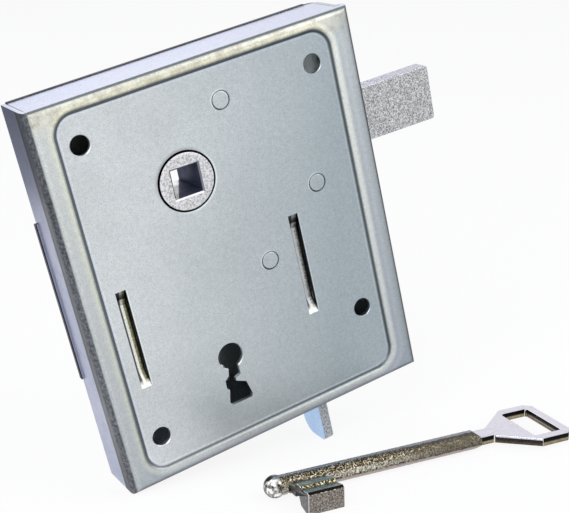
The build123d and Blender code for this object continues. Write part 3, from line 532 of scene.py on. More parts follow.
def wallTone(tree, colour, x, y, z, nx, nz, blotches, finish):
    # painted light and shade on the rolled edges and the walls behind them
    mottle = spread(tree, cloudNoise(tree, 0.0009, 3.0, 0.7), 0.0, 1.0, 0.40, 0.62)
    # painted shade on the rolls, deeper where they face right and where they face down
    right = tintStops(tree, nx, -1.0, 1.0, [(-0.42, 1.0), (-0.30, 1.10), (-0.1, 1.0), (0.10, 1.0), (0.30, 0.88),
                                            (0.40, 0.74), (0.50, 0.60), (0.56, 0.22), (0.64, 0.08)])
    foot = tintStops(tree, nz, -1.0, 1.0, [(-0.92, 0.22), (-0.75, 0.40), (-0.45, 0.56), (-0.20, 0.85), (-0.05, 1.0)])
    colour = multiply(tree, colour, multiply(tree, right, foot))
    # a painted dark line along the top roll
    high = tintStops(tree, nz, 0.0, 1.0, [(0.60, 0.0), (0.74, 1.0), (0.94, 1.0), (0.985, 0.0)])
    colour = blendColours(tree, high, colour, finish["topLine"])
    # a painted reflection down the left wall: dark above, pale below, with dark patches
    wall = blendColours(tree, spread(tree, z, 1.0, 0.0, -0.008, 0.033), finish["wallHigh"], finish["wallLow"])
    wall = blendColours(tree, spread(tree, blotches, 0.0, 0.30, 0.5, 0.7), wall, finish["wallHigh"])
    leftWall = tintStops(tree, nx, -1.0, 0.0, [(-0.993, 1.0), (-0.96, 0.0)])
    colour = blendColours(tree, leftWall, colour, wall)
    line = tintStops(tree, x, -0.041, -0.037, [(finish["cornerCrease"] - 0.00018, 1.0), (finish["cornerCrease"], 0.62),
                                               (finish["cornerCrease"] + 0.00018, 1.0)])
    # painted light: the top wall lighter and lilac
    top = tintStops(tree, nz, 0.0, 1.0, [(0.95, 0.0), (0.985, 1.0)])
    colour = blendColours(tree, top, colour, multiply(tree, finish["topWall"], line))
    # the left roll has a painted dark reflection from the rim's edge to a line on the wall
    roll = blendColours(tree, arithmetic(tree, "MULTIPLY", mottle, spread(tree, y, 1.0, 0.35, -0.0168, -0.0150)),
                        finish["rollDark"], finish["rollLight"])
    roll = multiply(tree, roll, tintStops(tree, y, -0.0182, -0.0100, [(-0.0140, 1.0), (-0.0124, 0.55), (-0.0118, 0.9)]))
    sideways = spread(tree, x, 1.0, 0.0, -0.0391, -0.0387)
    forward = spread(tree, y, 1.0, 0.0, -0.0122, -0.0115)
    notTop = spread(tree, nz, 1.0, 0.0, 0.45, 0.65)
    share = arithmetic(tree, "MULTIPLY", arithmetic(tree, "MULTIPLY", sideways, forward), notTop)
    return blendColours(tree, share, colour, roll)


def coverMaterial(name, grainFinish, finish):
    material, tree, shader, clouds, grain = startSheet(name, grainFinish)
    x, y, z = splitVector(tree, objectPlace(tree))
    nx, ny, nz = splitVector(tree, objectNormal(tree))
    blotches = cloudNoise(tree, 0.0032, 4.0, 0.65)
    panel = panelTone(tree, x, z, clouds, finish)
    for look in ringLooks:
        panel = multiply(tree, panel, ringTone(tree, x, z, look))
    away = panelDistance(tree, x, z, finish)
    cream = blendColours(tree, spread(tree, blotches, 0.0, 0.75, 0.44, 0.64), finish["cream"], finish["stain"])
    # painted shade on the rim towards the foot; its top is cream
    rim = blendColours(tree, spread(tree, z, 1.0, 0.0, -0.075, 0.025), finish["rim"], finish["rimLow"])
    rim = blendColours(tree, spread(tree, z, 0.0, 1.0, 0.0262, 0.0292), rim, cream)
    across = arithmetic(tree, "DIVIDE", arithmetic(tree, "SUBTRACT", x, finish["middle"][0]), finish["half"][0])
    upward = arithmetic(tree, "DIVIDE", arithmetic(tree, "SUBTRACT", z, finish["middle"][1]), finish["half"][1])
    lower = spread(tree, arithmetic(tree, "SUBTRACT", across, upward), 0.0, 1.0, -0.14, 0.14)
    # painted bands of shade on the rim near the panel at the right and foot
    lilac = tintStops(tree, away, 0.0, 0.009, [(0.0022, 1.03), (0.0033, (0.76, 0.78, 0.84)), (0.0046, (0.84, 0.86, 0.90)),
                                               (0.0062, (0.70, 0.73, 0.78))])
    rim = multiply(tree, rim, blendColours(tree, lower, (1.0, 1.0, 1.0, 1.0), lilac))
    colour = blendColours(tree, spread(tree, away, 0.0, 1.0, 0.0006, 0.0011), panel, rim)
    for look in bridgeLooks:
        colour = bridgeTone(tree, colour, x, z, nx, look)
    colour = multiply(tree, colour, shoulderTone(tree, away, lower, ny))
    walled = wallTone(tree, colour, x, y, z, nx, nz, blotches, finish)
    outside = spread(tree, away, 0.0, 1.0, 0.0018, 0.0024)
    colour = blendColours(tree, outside, colour, walled)
    grainedSheet(tree, shader, colour, clouds, grain, grainFinish)
    return material


def plateMaterial(name, grainFinish):
    # the base plate: bright sheet with a dark sheared edge within 1.6 mm of the door, at its top and round its tongue
    material, tree, shader, clouds, grain = startSheet(name, grainFinish)
    x, y, z = splitVector(tree, objectPlace(tree))
    ny = splitVector(tree, objectNormal(tree))[1]
    plain = colourStops(tree, clouds, [(0.3, grainFinish["dark"]), (0.7, grainFinish["light"])])
    tongue = spread(tree, x, 1.0, 0.0, -0.04045, -0.04035)
    colour = blendColours(tree, tongue, plain, (0.46, 0.47, 0.62, 1.0))
    edge = tintStops(tree, arithmetic(tree, "ABSOLUTE", ny), 0.0, 1.0, [(0.5, 1.0), (0.8, 0.0)])
    black = arithmetic(tree, "MULTIPLY", edge, spread(tree, y, 0.0, 1.0, -0.0017, -0.0016))
    black = arithmetic(tree, "MAXIMUM", black, spread(tree, x, 1.0, 0.0, -0.04072, -0.04066))
    black = arithmetic(tree, "MAXIMUM", black, spread(tree, z, 0.0, 1.0, 0.03322, 0.03326))
    colour = blendColours(tree, black, colour, (0.030, 0.030, 0.042, 1.0))
    grainedSheet(tree, shader, colour, clouds, grain, grainFinish)
    return material


def rivetMaterial(name, grainFinish, finish):
    # riveted ends in the panel's tone, with its painted shade towards the right
    material, tree, shader, clouds, grain = startSheet(name, grainFinish)
    x, y, z = splitVector(tree, objectPlace(tree))
    grainedSheet(tree, shader, panelTone(tree, x, z, clouds, finish), clouds, grain, grainFinish)
    return material


def tabMaterial(name, finish):
    # blue zinc, grey and rough on the sheared edge
    material, tree, shader, clouds, grain = startSheet(name, finish)
    ny = splitVector(tree, objectNormal(tree))[1]
    blue = colourStops(tree, clouds, [(0.3, finish["dark"]), (0.7, finish["light"])])
    torn = colourStops(tree, cloudNoise(tree, 0.0007, 3.0, 0.7), [(0.4, finish["edgeDark"]), (0.6, finish["edgeLight"])])
    colour = blendColours(tree, spread(tree, ny, 1.0, 0.0, -0.85, -0.65), blue, torn)
    grainedSheet(tree, shader, colour, clouds, grain, finish)
    return material


def castMaterial(name, finish):
    # rough casting, turned bright where ground is 1, with painted shade in the square hole where hollow is 1
    material, tree, shader = startMaterial(name, 1.0, 0.4)
    x, y, z = splitVector(tree, objectPlace(tree))
    speckle = cloudNoise(tree, finish["speckle"], 3.0, 0.75)
    patches = cloudNoise(tree, finish["speckle"] * 12, 2.0)
    skin = colourStops(tree, speckle, [(0.34, finish["dark"]), (0.47, finish["middle"]), (0.62, finish["light"])])
    # painted light: faces turned up are lighter
    top = tintStops(tree, facing(tree, (0.0, 0.0, 1.0)), 0.0, 1.0, [(0.5, 1.0), (0.8, (1.22, 1.22, 1.36))])
    skin = multiply(tree, skin, top)
    mottle = cloudNoise(tree, 0.00065, 3.0, 0.7)
    turned = colourStops(tree, mottle, [(0.36, finish["groundLow"]), (0.47, finish["ground"]), (0.60, finish["groundHigh"])])
    # a painted highlight: white patches on the upper-left of a ring near the turned face's edge
    radius = arithmetic(tree, "SQRT", arithmetic(tree, "ADD", arithmetic(tree, "MULTIPLY", x, x),
                                                 arithmetic(tree, "MULTIPLY", z, z)))
    rim = tintStops(tree, radius, 0.0070, 0.0085, [(0.0073, 0.0), (0.0077, 1.0), (0.0082, 1.0)])
    leftward = spread(tree, arithmetic(tree, "SUBTRACT", z, x), 0.0, 1.0, -0.002, 0.006)
    white = arithmetic(tree, "MULTIPLY", arithmetic(tree, "MULTIPLY", rim, leftward), spread(tree, mottle, 0.0, 1.0, 0.40, 0.46))
    turned = blendColours(tree, white, turned, finish["groundHigh"])
    ground = attribute(tree, "ground")
    hollow = attribute(tree, "hollow")
    colour = blendColours(tree, ground, skin, turned)
    upFace, leftFace = facing(tree, (0.0, 0.0, 1.0)), facing(tree, (-1.0, 0.0, 0.0))
    # the mouth's chamfers: painted shade where they face left, a painted white highlight where they face up
    mouth = arithmetic(tree, "MULTIPLY", ground, spread(tree, radius, 1.0, 0.0, 0.0068, 0.0070))
    for side, tint in ((leftFace, finish["sideChamferShade"]), (upFace, finish["footChamferHighlight"])):
        chamfer = arithmetic(tree, "MULTIPLY", mouth, spread(tree, side, 0.0, 1.0, 0.35, 0.55))
        colour = blendColours(tree, chamfer, colour, tint)
    # painted shade in the square hole
    colour = blendColours(tree, hollow, colour, finish["hollow"])
    # a painted reflection of the daylight behind on the foot of the square hole, left of a line that runs back to the
    # right
    beyond = arithmetic(tree, "SUBTRACT", x, arithmetic(tree, "MULTIPLY", y, 0.461))
    mirror = arithmetic(tree, "MULTIPLY", hollow, spread(tree, beyond, 1.0, 0.0, 0.00415, 0.00435))
    mirror = arithmetic(tree, "MULTIPLY", mirror, spread(tree, upFace, 0.0, 1.0, 0.85, 0.95))
    colour = blendColours(tree, mirror, colour, finish["mirrored"])
    # a painted shadow line: black on the hub's round edge, where dark is 1
    join(tree, blendColours(tree, attribute(tree, "dark"), colour, finish["black"]), shader.inputs["Base Color"])
    rough = spread(tree, patches, finish["smooth"], finish["rough"])
    join(tree, arithmetic(tree, "ADD", rough, arithmetic(tree, "MULTIPLY", hollow, 0.20)), shader.inputs["Roughness"])
    even = arithmetic(tree, "SUBTRACT", 1.0, arithmetic(tree, "MULTIPLY", ground, 0.80))
    addBumps(tree, shader, [(arithmetic(tree, "MULTIPLY", speckle, even), finish["depth"])])
    return material


def plainMetal(name, finish):
    material, tree, shader = startMaterial(name, 1.0, 0.35)
    grain = cloudNoise(tree, finish["grain"], 3.0, 0.6)
    join(tree, colourStops(tree, grain, [(0.3, finish["dark"]), (0.7, finish["light"])]), shader.inputs["Base Color"])
    join(tree, spread(tree, grain, 0.28, 0.45), shader.inputs["Roughness"])
    addBumps(tree, shader, [(grain, finish["grain"] * 0.03)])
    return material


def keySkins(tree, speckle):
    # the nickelled casting's speckle as painted light and shade: a lit copy for pale sides and a shaded copy for dark
    # ones
    litSkin = colourStops(tree, speckle, [(0.36, (0.05, 0.045, 0.04, 1.0)), (0.45, (0.30, 0.27, 0.19, 1.0)),
                                       (0.54, (0.50, 0.48, 0.42, 1.0)), (0.64, (0.86, 0.85, 0.78, 1.0))])
    shadedSkin = colourStops(tree, speckle, [(0.42, (0.012, 0.010, 0.010, 1.0)), (0.50, (0.06, 0.045, 0.022, 1.0)),
                                       (0.57, (0.28, 0.23, 0.12, 1.0)), (0.66, (0.85, 0.83, 0.76, 1.0))])
    return litSkin, shadedSkin


def shaftMaterial(name, finish):
    # worn runs from 0 on the ball to 1 on the cast skin, a dark brown fills the groove behind the ball, and light,
    # shade and reflections are painted by the way each side faces
    material, tree, shader = startMaterial(name, 1.0, 0.2)
    worn = attribute(tree, "worn")
    x = splitVector(tree, objectPlace(tree))[0]
    speckle = cloudNoise(tree, finish["speckle"], 3.0, 0.7)
    litSkin, shadedSkin = keySkins(tree, speckle)
    height = facing(tree, finish["up"])
    # painted light and shade: the lit skin in front and the shaded skin above and below, by the way each side faces
    share = tintStops(tree, height, -1.0, 1.0, [(-0.30, 0.95), (-0.16, 0.80), (-0.04, 0.10), (0.30, 0.10), (0.50, 0.92), (0.9, 1.0)])
    skin = blendColours(tree, share, litSkin, shadedSkin)
    # darker towards the bow
    skin = multiply(tree, skin, tintStops(tree, x, 0.0, 0.08, [(0.028, 1.0), (0.050, (0.62, 0.59, 0.52))]))
    skin = blendColours(tree, spread(tree, x, 0.0, 0.62, 0.024, 0.048), skin, finish["bowEndDark"])
    # a painted dark reflection in a band along the upper side
    upperShade = tintStops(tree, height, -1.0, 1.0, [(0.84, 0.0), (0.90, 0.34), (0.965, 0.34), (0.985, 0.0)])
    skin = blendColours(tree, upperShade, skin, finish["upperShade"])
    # a painted highlight along the top
    bright = tintStops(tree, height, -1.0, 1.0, [(0.975, 0.0), (0.992, 0.70)])
    skin = blendColours(tree, bright, skin, finish["edge"])
    # a painted reflection of the floor on the underside
    under = tintStops(tree, height, -1.0, 1.0, [(-0.55, 0.95), (-0.38, 0.85), (-0.28, 0.0)])
    skin = blendColours(tree, under, skin, finish["foot"])
    # dark brown in the groove behind the ball, deepest where the groove is deepest
    skin = blendColours(tree, attribute(tree, "grooveDark"), skin, (0.045, 0.028, 0.018, 1.0))
    # painted reflections on the polished ball: bright and dark spots, strongest on the side turned to eye
    spots = colourStops(tree, cloudNoise(tree, 0.0017, 1.0), [(0.40, (0.02, 0.02, 0.02, 1.0)), (0.47, (0.22, 0.21, 0.20, 1.0)),
                                                             (0.54, (0.38, 0.37, 0.35, 1.0)), (0.60, (1.0, 1.0, 1.0, 1.0))])
    spots = multiply(tree, spots, tintStops(tree, facing(tree, finish["eye"]), 0.0, 1.0, [(0.25, 0.30), (0.60, 1.0)]))
    join(tree, blendColours(tree, worn, spots, skin), shader.inputs["Base Color"])
    join(tree, spread(tree, worn, 0.12, 0.36, 0.0, 1.0), shader.inputs["Roughness"])
    addBumps(tree, shader, [(arithmetic(tree, "MULTIPLY", speckle, worn), finish["depth"])])
    return material


def bitMaterial(name, finish):
    # each side of the warded bit painted in light and shade by the way it faces: slabs above, gold on the slope,
    # brown-grey in front
    material, tree, shader = startMaterial(name, 1.0, 0.32)
    height = facing(tree, finish["up"])
    end = facing(tree, tuple(-c for c in finish["along"]))
    speckle = cloudNoise(tree, finish["speckle"], 3.0, 0.7)
    shadedSkin = keySkins(tree, speckle)[1]
    face = colourStops(tree, speckle, [(0.38, finish["faceDark"]), (0.49, finish["face"]), (0.60, finish["faceLight"])])
    slope = multiply(tree, shadedSkin, (1.5, 1.5, 1.3, 1.0))
    colour = blendColours(tree, tintStops(tree, height, 0.0, 1.0, [(0.45, 0.0), (0.58, 1.0)]), face, slope)
    # a painted black band below the slabs
    colour = blendColours(tree, tintStops(tree, height, 0.0, 1.0, [(0.76, 0.0), (0.80, 1.0)]), colour, finish["black"])
    slab = multiply(tree, finish["slab"], tintStops(tree, cloudNoise(tree, 0.0016, 2.0), 0.0, 1.0, [(0.35, 0.85), (0.65, 1.3)]))
    colour = blendColours(tree, tintStops(tree, height, 0.0, 1.0, [(0.90, 0.0), (0.94, 1.0)]), colour, slab)
    # painted highlights on the edges by the end
    bright = tintStops(tree, end, 0.0, 1.0, [(0.35, 0.0), (0.50, 1.0), (0.85, 1.0), (0.95, 0.0)])
    colour = blendColours(tree, bright, colour, (0.90, 0.90, 0.88, 1.0))
    ridges = multiply(tree, finish["end"], tintStops(tree, speckle, 0.0, 1.0, [(0.40, 0.60), (0.60, 1.35)]))
    colour = blendColours(tree, tintStops(tree, end, 0.0, 1.0, [(0.90, 0.0), (0.97, 1.0)]), colour, ridges)
    join(tree, colour, shader.inputs["Base Color"])
    addBumps(tree, shader, [(speckle, finish["depth"] * 0.7)])
    return material


def bowMaterial(name, finish):
    # polished above, the attribute rise runs up the walls from 0 to 1: painted reflections, brown and gold below, black
    # above
    material, tree, shader = startMaterial(name, 1.0, 0.22)
    rise = attribute(tree, "rise")
    wall = attribute(tree, "wall")
    along = facing(tree, finish["along"])
    speckle = cloudNoise(tree, finish["speckle"], 3.0, 0.7)
    # painted reflections on the straight walls, the flare and the opening's far wall, by rise and by the way each wall
    # faces
    plain = tintStops(tree, rise, 0.0, 1.0, [(0.02, (0.22, 0.18, 0.11)), (0.30, (0.34, 0.30, 0.19)), (0.44, (0.16, 0.13, 0.08)),
                                             (0.52, (0.010, 0.010, 0.010)), (0.97, (0.006, 0.006, 0.009))])
    flare = tintStops(tree, rise, 0.0, 1.0, [(0.02, (0.10, 0.08, 0.06)), (0.35, (0.045, 0.035, 0.028)), (0.66, (0.025, 0.02, 0.018)),
                                             (0.74, (0.008, 0.008, 0.010)), (0.82, (0.55, 0.55, 0.66)), (0.97, (0.72, 0.72, 0.82))])
    far = tintStops(tree, rise, 0.0, 1.0, [(0.02, (0.26, 0.21, 0.17)), (0.22, (0.08, 0.06, 0.05)), (0.36, (0.36, 0.30, 0.25)),
                                           (0.50, (0.10, 0.08, 0.07)), (0.66, (0.008, 0.008, 0.010))])
    side = blendColours(tree, tintStops(tree, along, -1.0, 1.0, [(-0.82, 0.0), (-0.72, 1.0), (-0.56, 1.0), (-0.48, 0.0)]), plain, flare)
    side = blendColours(tree, tintStops(tree, along, -1.0, 1.0, [(-0.95, 1.0), (-0.86, 0.0)]), side, far)
    side = multiply(tree, side, tintStops(tree, speckle, 0.0, 1.0, [(0.40, 0.70), (0.62, 1.45)]))
    # painted highlights on the corners between the walls
    glint = tintStops(tree, along, -1.0, 1.0, [(-0.46, 0.0), (-0.40, 0.85), (-0.28, 0.85), (-0.20, 0.0), (0.26, 0.0), (0.34, 0.6),
                                               (0.46, 0.6), (0.54, 0.0)])
    side = blendColours(tree, glint, side, (0.92, 0.92, 0.90, 1.0))
    clouds = cloudNoise(tree, 0.0012, 3.0, 0.6)
    top = multiply(tree, finish["polished"], tintStops(tree, clouds, 0.0, 1.0, [(0.35, 0.95), (0.65, 1.05)]))
    join(tree, blendColours(tree, wall, top, side), shader.inputs["Base Color"])
    join(tree, spread(tree, wall, 0.18, 0.36, 0.0, 1.0), shader.inputs["Roughness"])
    addBumps(tree, shader, [(arithmetic(tree, "MULTIPLY", speckle, wall), finish["depth"] * 0.6),
                            (clouds, 0.000006)])
    return material


zincCover = coverMaterial("zincCover", sheetFinish, coverFinish)
zincPlate = plateMaterial("zincPlate", sheetFinish)
zincRivet = rivetMaterial("zincRivet", sheetFinish, coverFinish)
castZinc = castMaterial("castZinc", castFinish)
blueZinc = tabMaterial("blueZinc", dict(sheetFinish, **tabFinish))
nickelShaft = shaftMaterial("nickelShaft", keyFinish)
nickelBit = bitMaterial("nickelBit", keyFinish)
nickelBow = bowMaterial("nickelBow", keyFinish)
insideMetals = {slot: plainMetal(slot, finish) for slot, finish in insideFinishes.items()}
print("finishes made")


# surfaces worked out with numpy

def turnedOutwards(points, faces):
    # the enclosed volume is a sixth of the triple products of every face's fan; where it is negative, faces turn over
    fan = np.array([(f[0], f[i], f[i + 1]) for f in faces for i in range(1, len(f) - 1)])
    a, b, c = (points[fan[:, k]] - points[0] for k in range(3))
    volume = float(np.sum(a * np.cross(b, c))) / 6
    return faces if volume > 0 else [face[::-1] for face in faces]


def makePiece(name, points, faces, material, body, replaced=(), smooth=35.0):
    faces = turnedOutwards(points, faces)
    mesh = bpy.data.meshes.new(name)
    mesh.from_pydata(points.tolist(), [], faces)
    mesh.shade_smooth()
    mesh.set_sharp_from_angle(angle=math.radians(smooth))
    mesh.materials.append(material)
    piece = bpy.data.objects.new(name, mesh)
    bpy.context.scene.collection.objects.link(piece)
    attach(piece, body)
    for node in replaced:
        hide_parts(node)
    return piece


def gridFaces(rows, columns, closedRows=False):
    # four-sided faces between neighbouring rows, each row closed on itself
    upper = np.arange(rows if closedRows else rows - 1)
    lower = (upper + 1) % rows
    here = np.arange(columns)
    onward = (here + 1) % columns
    quads = np.stack([upper[:, None] * columns + here, upper[:, None] * columns + onward,
                      lower[:, None] * columns + onward, lower[:, None] * columns + here], axis=-1)
    return quads.reshape(-1, 4).tolist()


def ringedCaps(rows, columns):
    first = list(range(columns))[::-1]
    last = list(range((rows - 1) * columns, rows * columns))
    return [first, last]


def unevenness(points, size, seed):
    # smooth bumps between 0 and 1: sine waves of about the given size, in directions picked by the seed, multiplied
    rng = np.random.default_rng(seed)
    total = np.zeros(points.shape[:-1])
    for part in range(14):
        way = rng.normal(size=3)
        way /= np.linalg.norm(way)
        wave = np.sin(points @ way * (2 * np.pi / (size * rng.uniform(0.7, 1.9))) + rng.uniform(0, 2 * np.pi))
        total += wave
    return 0.5 + 0.5 * np.tanh(total / 3.2)


def roundedOutline(corners, radii, steps=6):
    # a closed outline whose corners are tangent arcs: each arc runs between the points that lie
    # radius / tan(half the corner's angle) from the corner along its two sides
    corners = np.asarray(corners, float)
    radii = np.broadcast_to(np.asarray(radii, float), (len(corners),))
    outline = []
    for k, corner in enumerate(corners):
        back = corners[k - 1] - corner
        onward = corners[(k + 1) % len(corners)] - corner
        back /= np.linalg.norm(back)
        onward /= np.linalg.norm(onward)
        half = math.acos(float(np.clip(back @ onward, -1, 1))) / 2
        radius = radii[k]
        middle = corner + (back + onward) / np.linalg.norm(back + onward) * radius / math.sin(half)
        start = corner + back * radius / math.tan(half) - middle
        end = corner + onward * radius / math.tan(half) - middle
        sweep = math.atan2(start[0] * end[1] - start[1] * end[0], start @ end)
        angles = np.linspace(0, sweep, steps)
        turned = np.stack([start[0] * np.cos(angles) - start[1] * np.sin(angles),
                           start[0] * np.sin(angles) + start[1] * np.cos(angles)], axis=1)
        outline.append(middle + turned)
    return np.concatenate(outline)


def outlineNormals(outline):
    # the direction square to the line between each point's two neighbours, outwards for a left-hand outline
    ways = np.roll(outline, -1, axis=0) - np.roll(outline, 1, axis=0)
    ways /= np.linalg.norm(ways, axis=1, keepdims=True)
    return np.stack([ways[:, 1], -ways[:, 0]], axis=1)


def bevelRows(low, high, bevel, steps=4, ring=0.35):
    # inset and height of each row of a bevelled edge: a ring on the flat, then a quarter circle, then the wall
    angles = np.linspace(0, np.pi / 2, steps)
    insets = bevel * (1 - np.sin(angles))
    lower = np.stack([insets, low + bevel * (1 - np.cos(angles))], axis=1)
    upper = np.stack([insets[::-1], high - bevel * (1 - np.cos(angles[::-1]))], axis=1)
    edge = bevel * (1 + ring)
    return np.concatenate([[[edge, low]], lower, upper, [[edge, high]]])


def bevelledPlate(name, outline, low, high, bevel, toSpace, material, body, replaced=()):
    # the outline drawn in by each row's inset, and lifted to each row's height
    rows = bevelRows(low, high, bevel)
    inward = -outlineNormals(outline)
    flat = outline[None] + inward[None] * rows[:, :1, None]
    points = toSpace(flat[..., 0], flat[..., 1], np.broadcast_to(rows[:, 1:2], flat.shape[:2]))
    count = len(outline)
    faces = gridFaces(len(rows), count) + ringedCaps(len(rows), count)
    return makePiece(name, points.reshape(-1, 3), faces, material, body, replaced)


def turnedPiece(name, profile, axisX, axisZ, material, body, replaced=(), columns=96):
    # a lathe form about an axis along y: each profile point's radius goes once round
    angles = np.linspace(0, 2 * np.pi, columns, endpoint=False)
    radius = profile[:, 0][:, None]
    points = np.stack([axisX + radius * np.cos(angles), np.broadcast_to(profile[:, 1][:, None], (len(profile), columns)),
                       axisZ + radius * np.sin(angles)], axis=-1)
    faces = gridFaces(len(profile), columns) + ringedCaps(len(profile), columns)
    return makePiece(name, points.reshape(-1, 3), faces, material, body, replaced)


def setAttribute(piece, name, values):
    layer = piece.data.attributes.new(name, "FLOAT", "POINT")
    layer.data.foreach_set("value", np.asarray(values, np.float32).ravel())


# key

keySizes = {
    "ballCentre": (-0.005639, -0.0402, -0.088622),
    "slope": -11.87,                     # degrees that the floor falls to the right
    "turn": -3.6,                        # degrees that the key lies turned to the front
    "ballRadius": 0.0034,
    "shaftRadius": 0.0030,
    "shaftLong": 0.0692,
    "shaftSlope": 0.0023,
    "neckAt": 0.00375,
    "neckDeep": 0.00035,
    "pits": 0.00005,
    "bitFrom": 0.0035,
    "bitWide": 0.0114,
    "bitReach": 0.0154,
    "bitPlay": 0.00035,
    "bitEdge": 0.00022,
    "collarHalf": 0.0028,
    "neckFrom": 0.06805,
    "flareFrom": 0.0738,
    "widestFrom": 0.0853,
    "cutFrom": 0.0948,
    "end": 0.0971,
    "bowHalf": 0.0123,
    "cornerCut": 0.0023,
    "bowThick": 0.00279,
    "holeFrom": 0.0844,
    "holeTo": 0.0940,
    "holeHalf": 0.00915,
    "holeRound": 0.0008,
    "bowEdge": 0.00032,
}


def keyFrame(sizes):
    # the key's own directions: along the shaft, across towards the bit, and up from the floor
    slope = math.radians(sizes["slope"])
    turn = math.radians(sizes["turn"])
    up = np.array([-math.sin(slope), 0.0, math.cos(slope)])
    level = np.array([math.cos(slope), 0.0, math.sin(slope)])
    along = level * math.cos(turn) + np.array([0.0, 1.0, 0.0]) * math.sin(turn)
    across = np.cross(along, up)
    centre = np.array(sizes["ballCentre"])

    def toSpace(s, t, h):
        return centre + s[..., None] * along + t[..., None] * across + h[..., None] * up

    return toSpace


def makeKeyShaft(sizes, toSpace):
    # radius along the axis: half a ball, a groove cut by a circle, then the plain shaft, with shallow pits
    ball = sizes["ballRadius"]
    plain = sizes["shaftRadius"]
    tip = -ball * np.cos(np.linspace(0.03, np.pi / 2, 28))
    near = np.linspace(0, 0.0065, 44)[1:]
    far = np.linspace(0.0065, sizes["shaftLong"], 260)[1:]
    s = np.concatenate([tip, near, far])
    r = np.sqrt(np.clip(ball ** 2 - s ** 2, 0, None))
    r = np.maximum(r, np.where(s > 0, plain, 0))
    angles = np.linspace(0, 2 * np.pi, 120, endpoint=False)
    # the groove is a circle's arc, at its deepest under the shaft and worn away above
    groove = 2 * sizes["neckDeep"]
    away = np.abs(s - sizes["neckAt"])
    dip = np.where(away < groove, np.sqrt(np.clip(groove ** 2 - away ** 2, 0, None)) - sizes["neckDeep"], 0)
    under = np.clip(0.45 - np.sin(angles), 0, 1)
    depth = np.clip(dip, 0, None)[:, None] * under
    grooveDark = np.clip(depth / sizes["neckDeep"] * 1.6, 0, 1)
    r = r[:, None] - depth
    worn = np.clip((s + 0.0004) / 0.0016, 0, 1)[:, None] * np.ones(len(angles))
    grid = np.stack([np.broadcast_to(s[:, None], (len(s), len(angles))), r * np.cos(angles), r * np.sin(angles)],
                    axis=-1)
    pitted = 1 - worn * sizes["pits"] / plain * unevenness(grid, 0.0011, 5)
    t = grid[..., 1] * pitted
    h = grid[..., 2] * pitted
    limit = np.interp(s, [sizes["shaftLong"] - sizes["shaftSlope"], sizes["shaftLong"]],
                      [plain, sizes["bowThick"] / 2])[:, None]
    h = np.clip(h, -limit, limit)
    points = toSpace(grid[..., 0], t, h)
    faces = gridFaces(len(s), len(angles)) + ringedCaps(len(s), len(angles))
    piece = makePiece("keyShaft", points.reshape(-1, 3), faces, nickelShaft, "key", ["key"])
    setAttribute(piece, "worn", worn)
    setAttribute(piece, "grooveDark", grooveDark)


bitShares = [
    (0.110, 0.110), (0.110, 0.435), (-0.008, 0.480), (-0.020, 0.532), (0.188, 0.636), (0.260, 0.935),
    (0.227, 1.000), (-0.195, 1.000), (-0.247, 0.922), (-0.188, 0.669), (-0.240, 0.617), (-0.234, 0.455),
    (-0.143, 0.377), (-0.104, 0.110),
]


def makeKeyBit(sizes, toSpace):
    # the warded outline, drawn in by the play, given its width with bevelled edges
    reach = sizes["bitReach"]
    corners = np.array([(z * reach, -x * reach) for x, z in bitShares])
    inner = drawnIn(corners, sizes["bitPlay"])
    outline = roundedOutline(inner, 0.00028, 5)
    if signedArea(outline) < 0:
        outline = outline[::-1]
    bevelledPlate("keyBit", outline, sizes["bitFrom"], sizes["bitFrom"] + sizes["bitWide"], sizes["bitEdge"],
                  lambda t, h, s: toSpace(s, t, h), nickelBit, "key", ["key"])


def signedArea(outline):
    onward = np.roll(outline, -1, axis=0)
    return 0.5 * float(np.sum(outline[:, 0] * onward[:, 1] - outline[:, 1] * onward[:, 0]))


def drawnIn(corners, distance):
    # each side moved inwards by the distance, and the corners put where neighbouring sides cross again
    sign = 1.0 if signedArea(corners) > 0 else -1.0
    ways = np.roll(corners, -1, axis=0) - corners
    ways /= np.linalg.norm(ways, axis=1, keepdims=True)
    inward = np.stack([-ways[:, 1], ways[:, 0]], axis=1) * sign
    before = np.roll(ways, 1, axis=0)
    beforeIn = np.roll(inward, 1, axis=0)
    # the corner moves by m with m . inward = m . beforeIn = distance
    det = beforeIn[:, 0] * inward[:, 1] - beforeIn[:, 1] * inward[:, 0]
    mx = distance * (inward[:, 1] - beforeIn[:, 1]) / det
    my = distance * (beforeIn[:, 0] - inward[:, 0]) / det
    return corners + np.stack([mx, my], axis=1)


def rayHits(curve, centre, angles):
    # where rays from the centre cross a closed curve that winds once round it
    around = np.arctan2(curve[:, 1] - centre[1], curve[:, 0] - centre[0])
    start = int(np.argmin(around))
    curve = np.roll(curve, -start, axis=0)
    around = np.roll(around, -start)
    curve = np.concatenate([curve[-1:], curve, curve[:1]])
    around = np.concatenate([[around[-1] - 2 * np.pi], around, [around[0] + 2 * np.pi]])
    spot = np.clip(np.searchsorted(around, angles, side="right") - 1, 0, len(around) - 2)
    p = curve[spot] - centre
    q = curve[spot + 1] - centre
    way = np.stack([np.cos(angles), np.sin(angles)], axis=1)
    edge = q - p
    far = (p[:, 0] * edge[:, 1] - p[:, 1] * edge[:, 0]) / (way[:, 0] * edge[:, 1] - way[:, 1] * edge[:, 0])
    return centre + way * far[:, None]


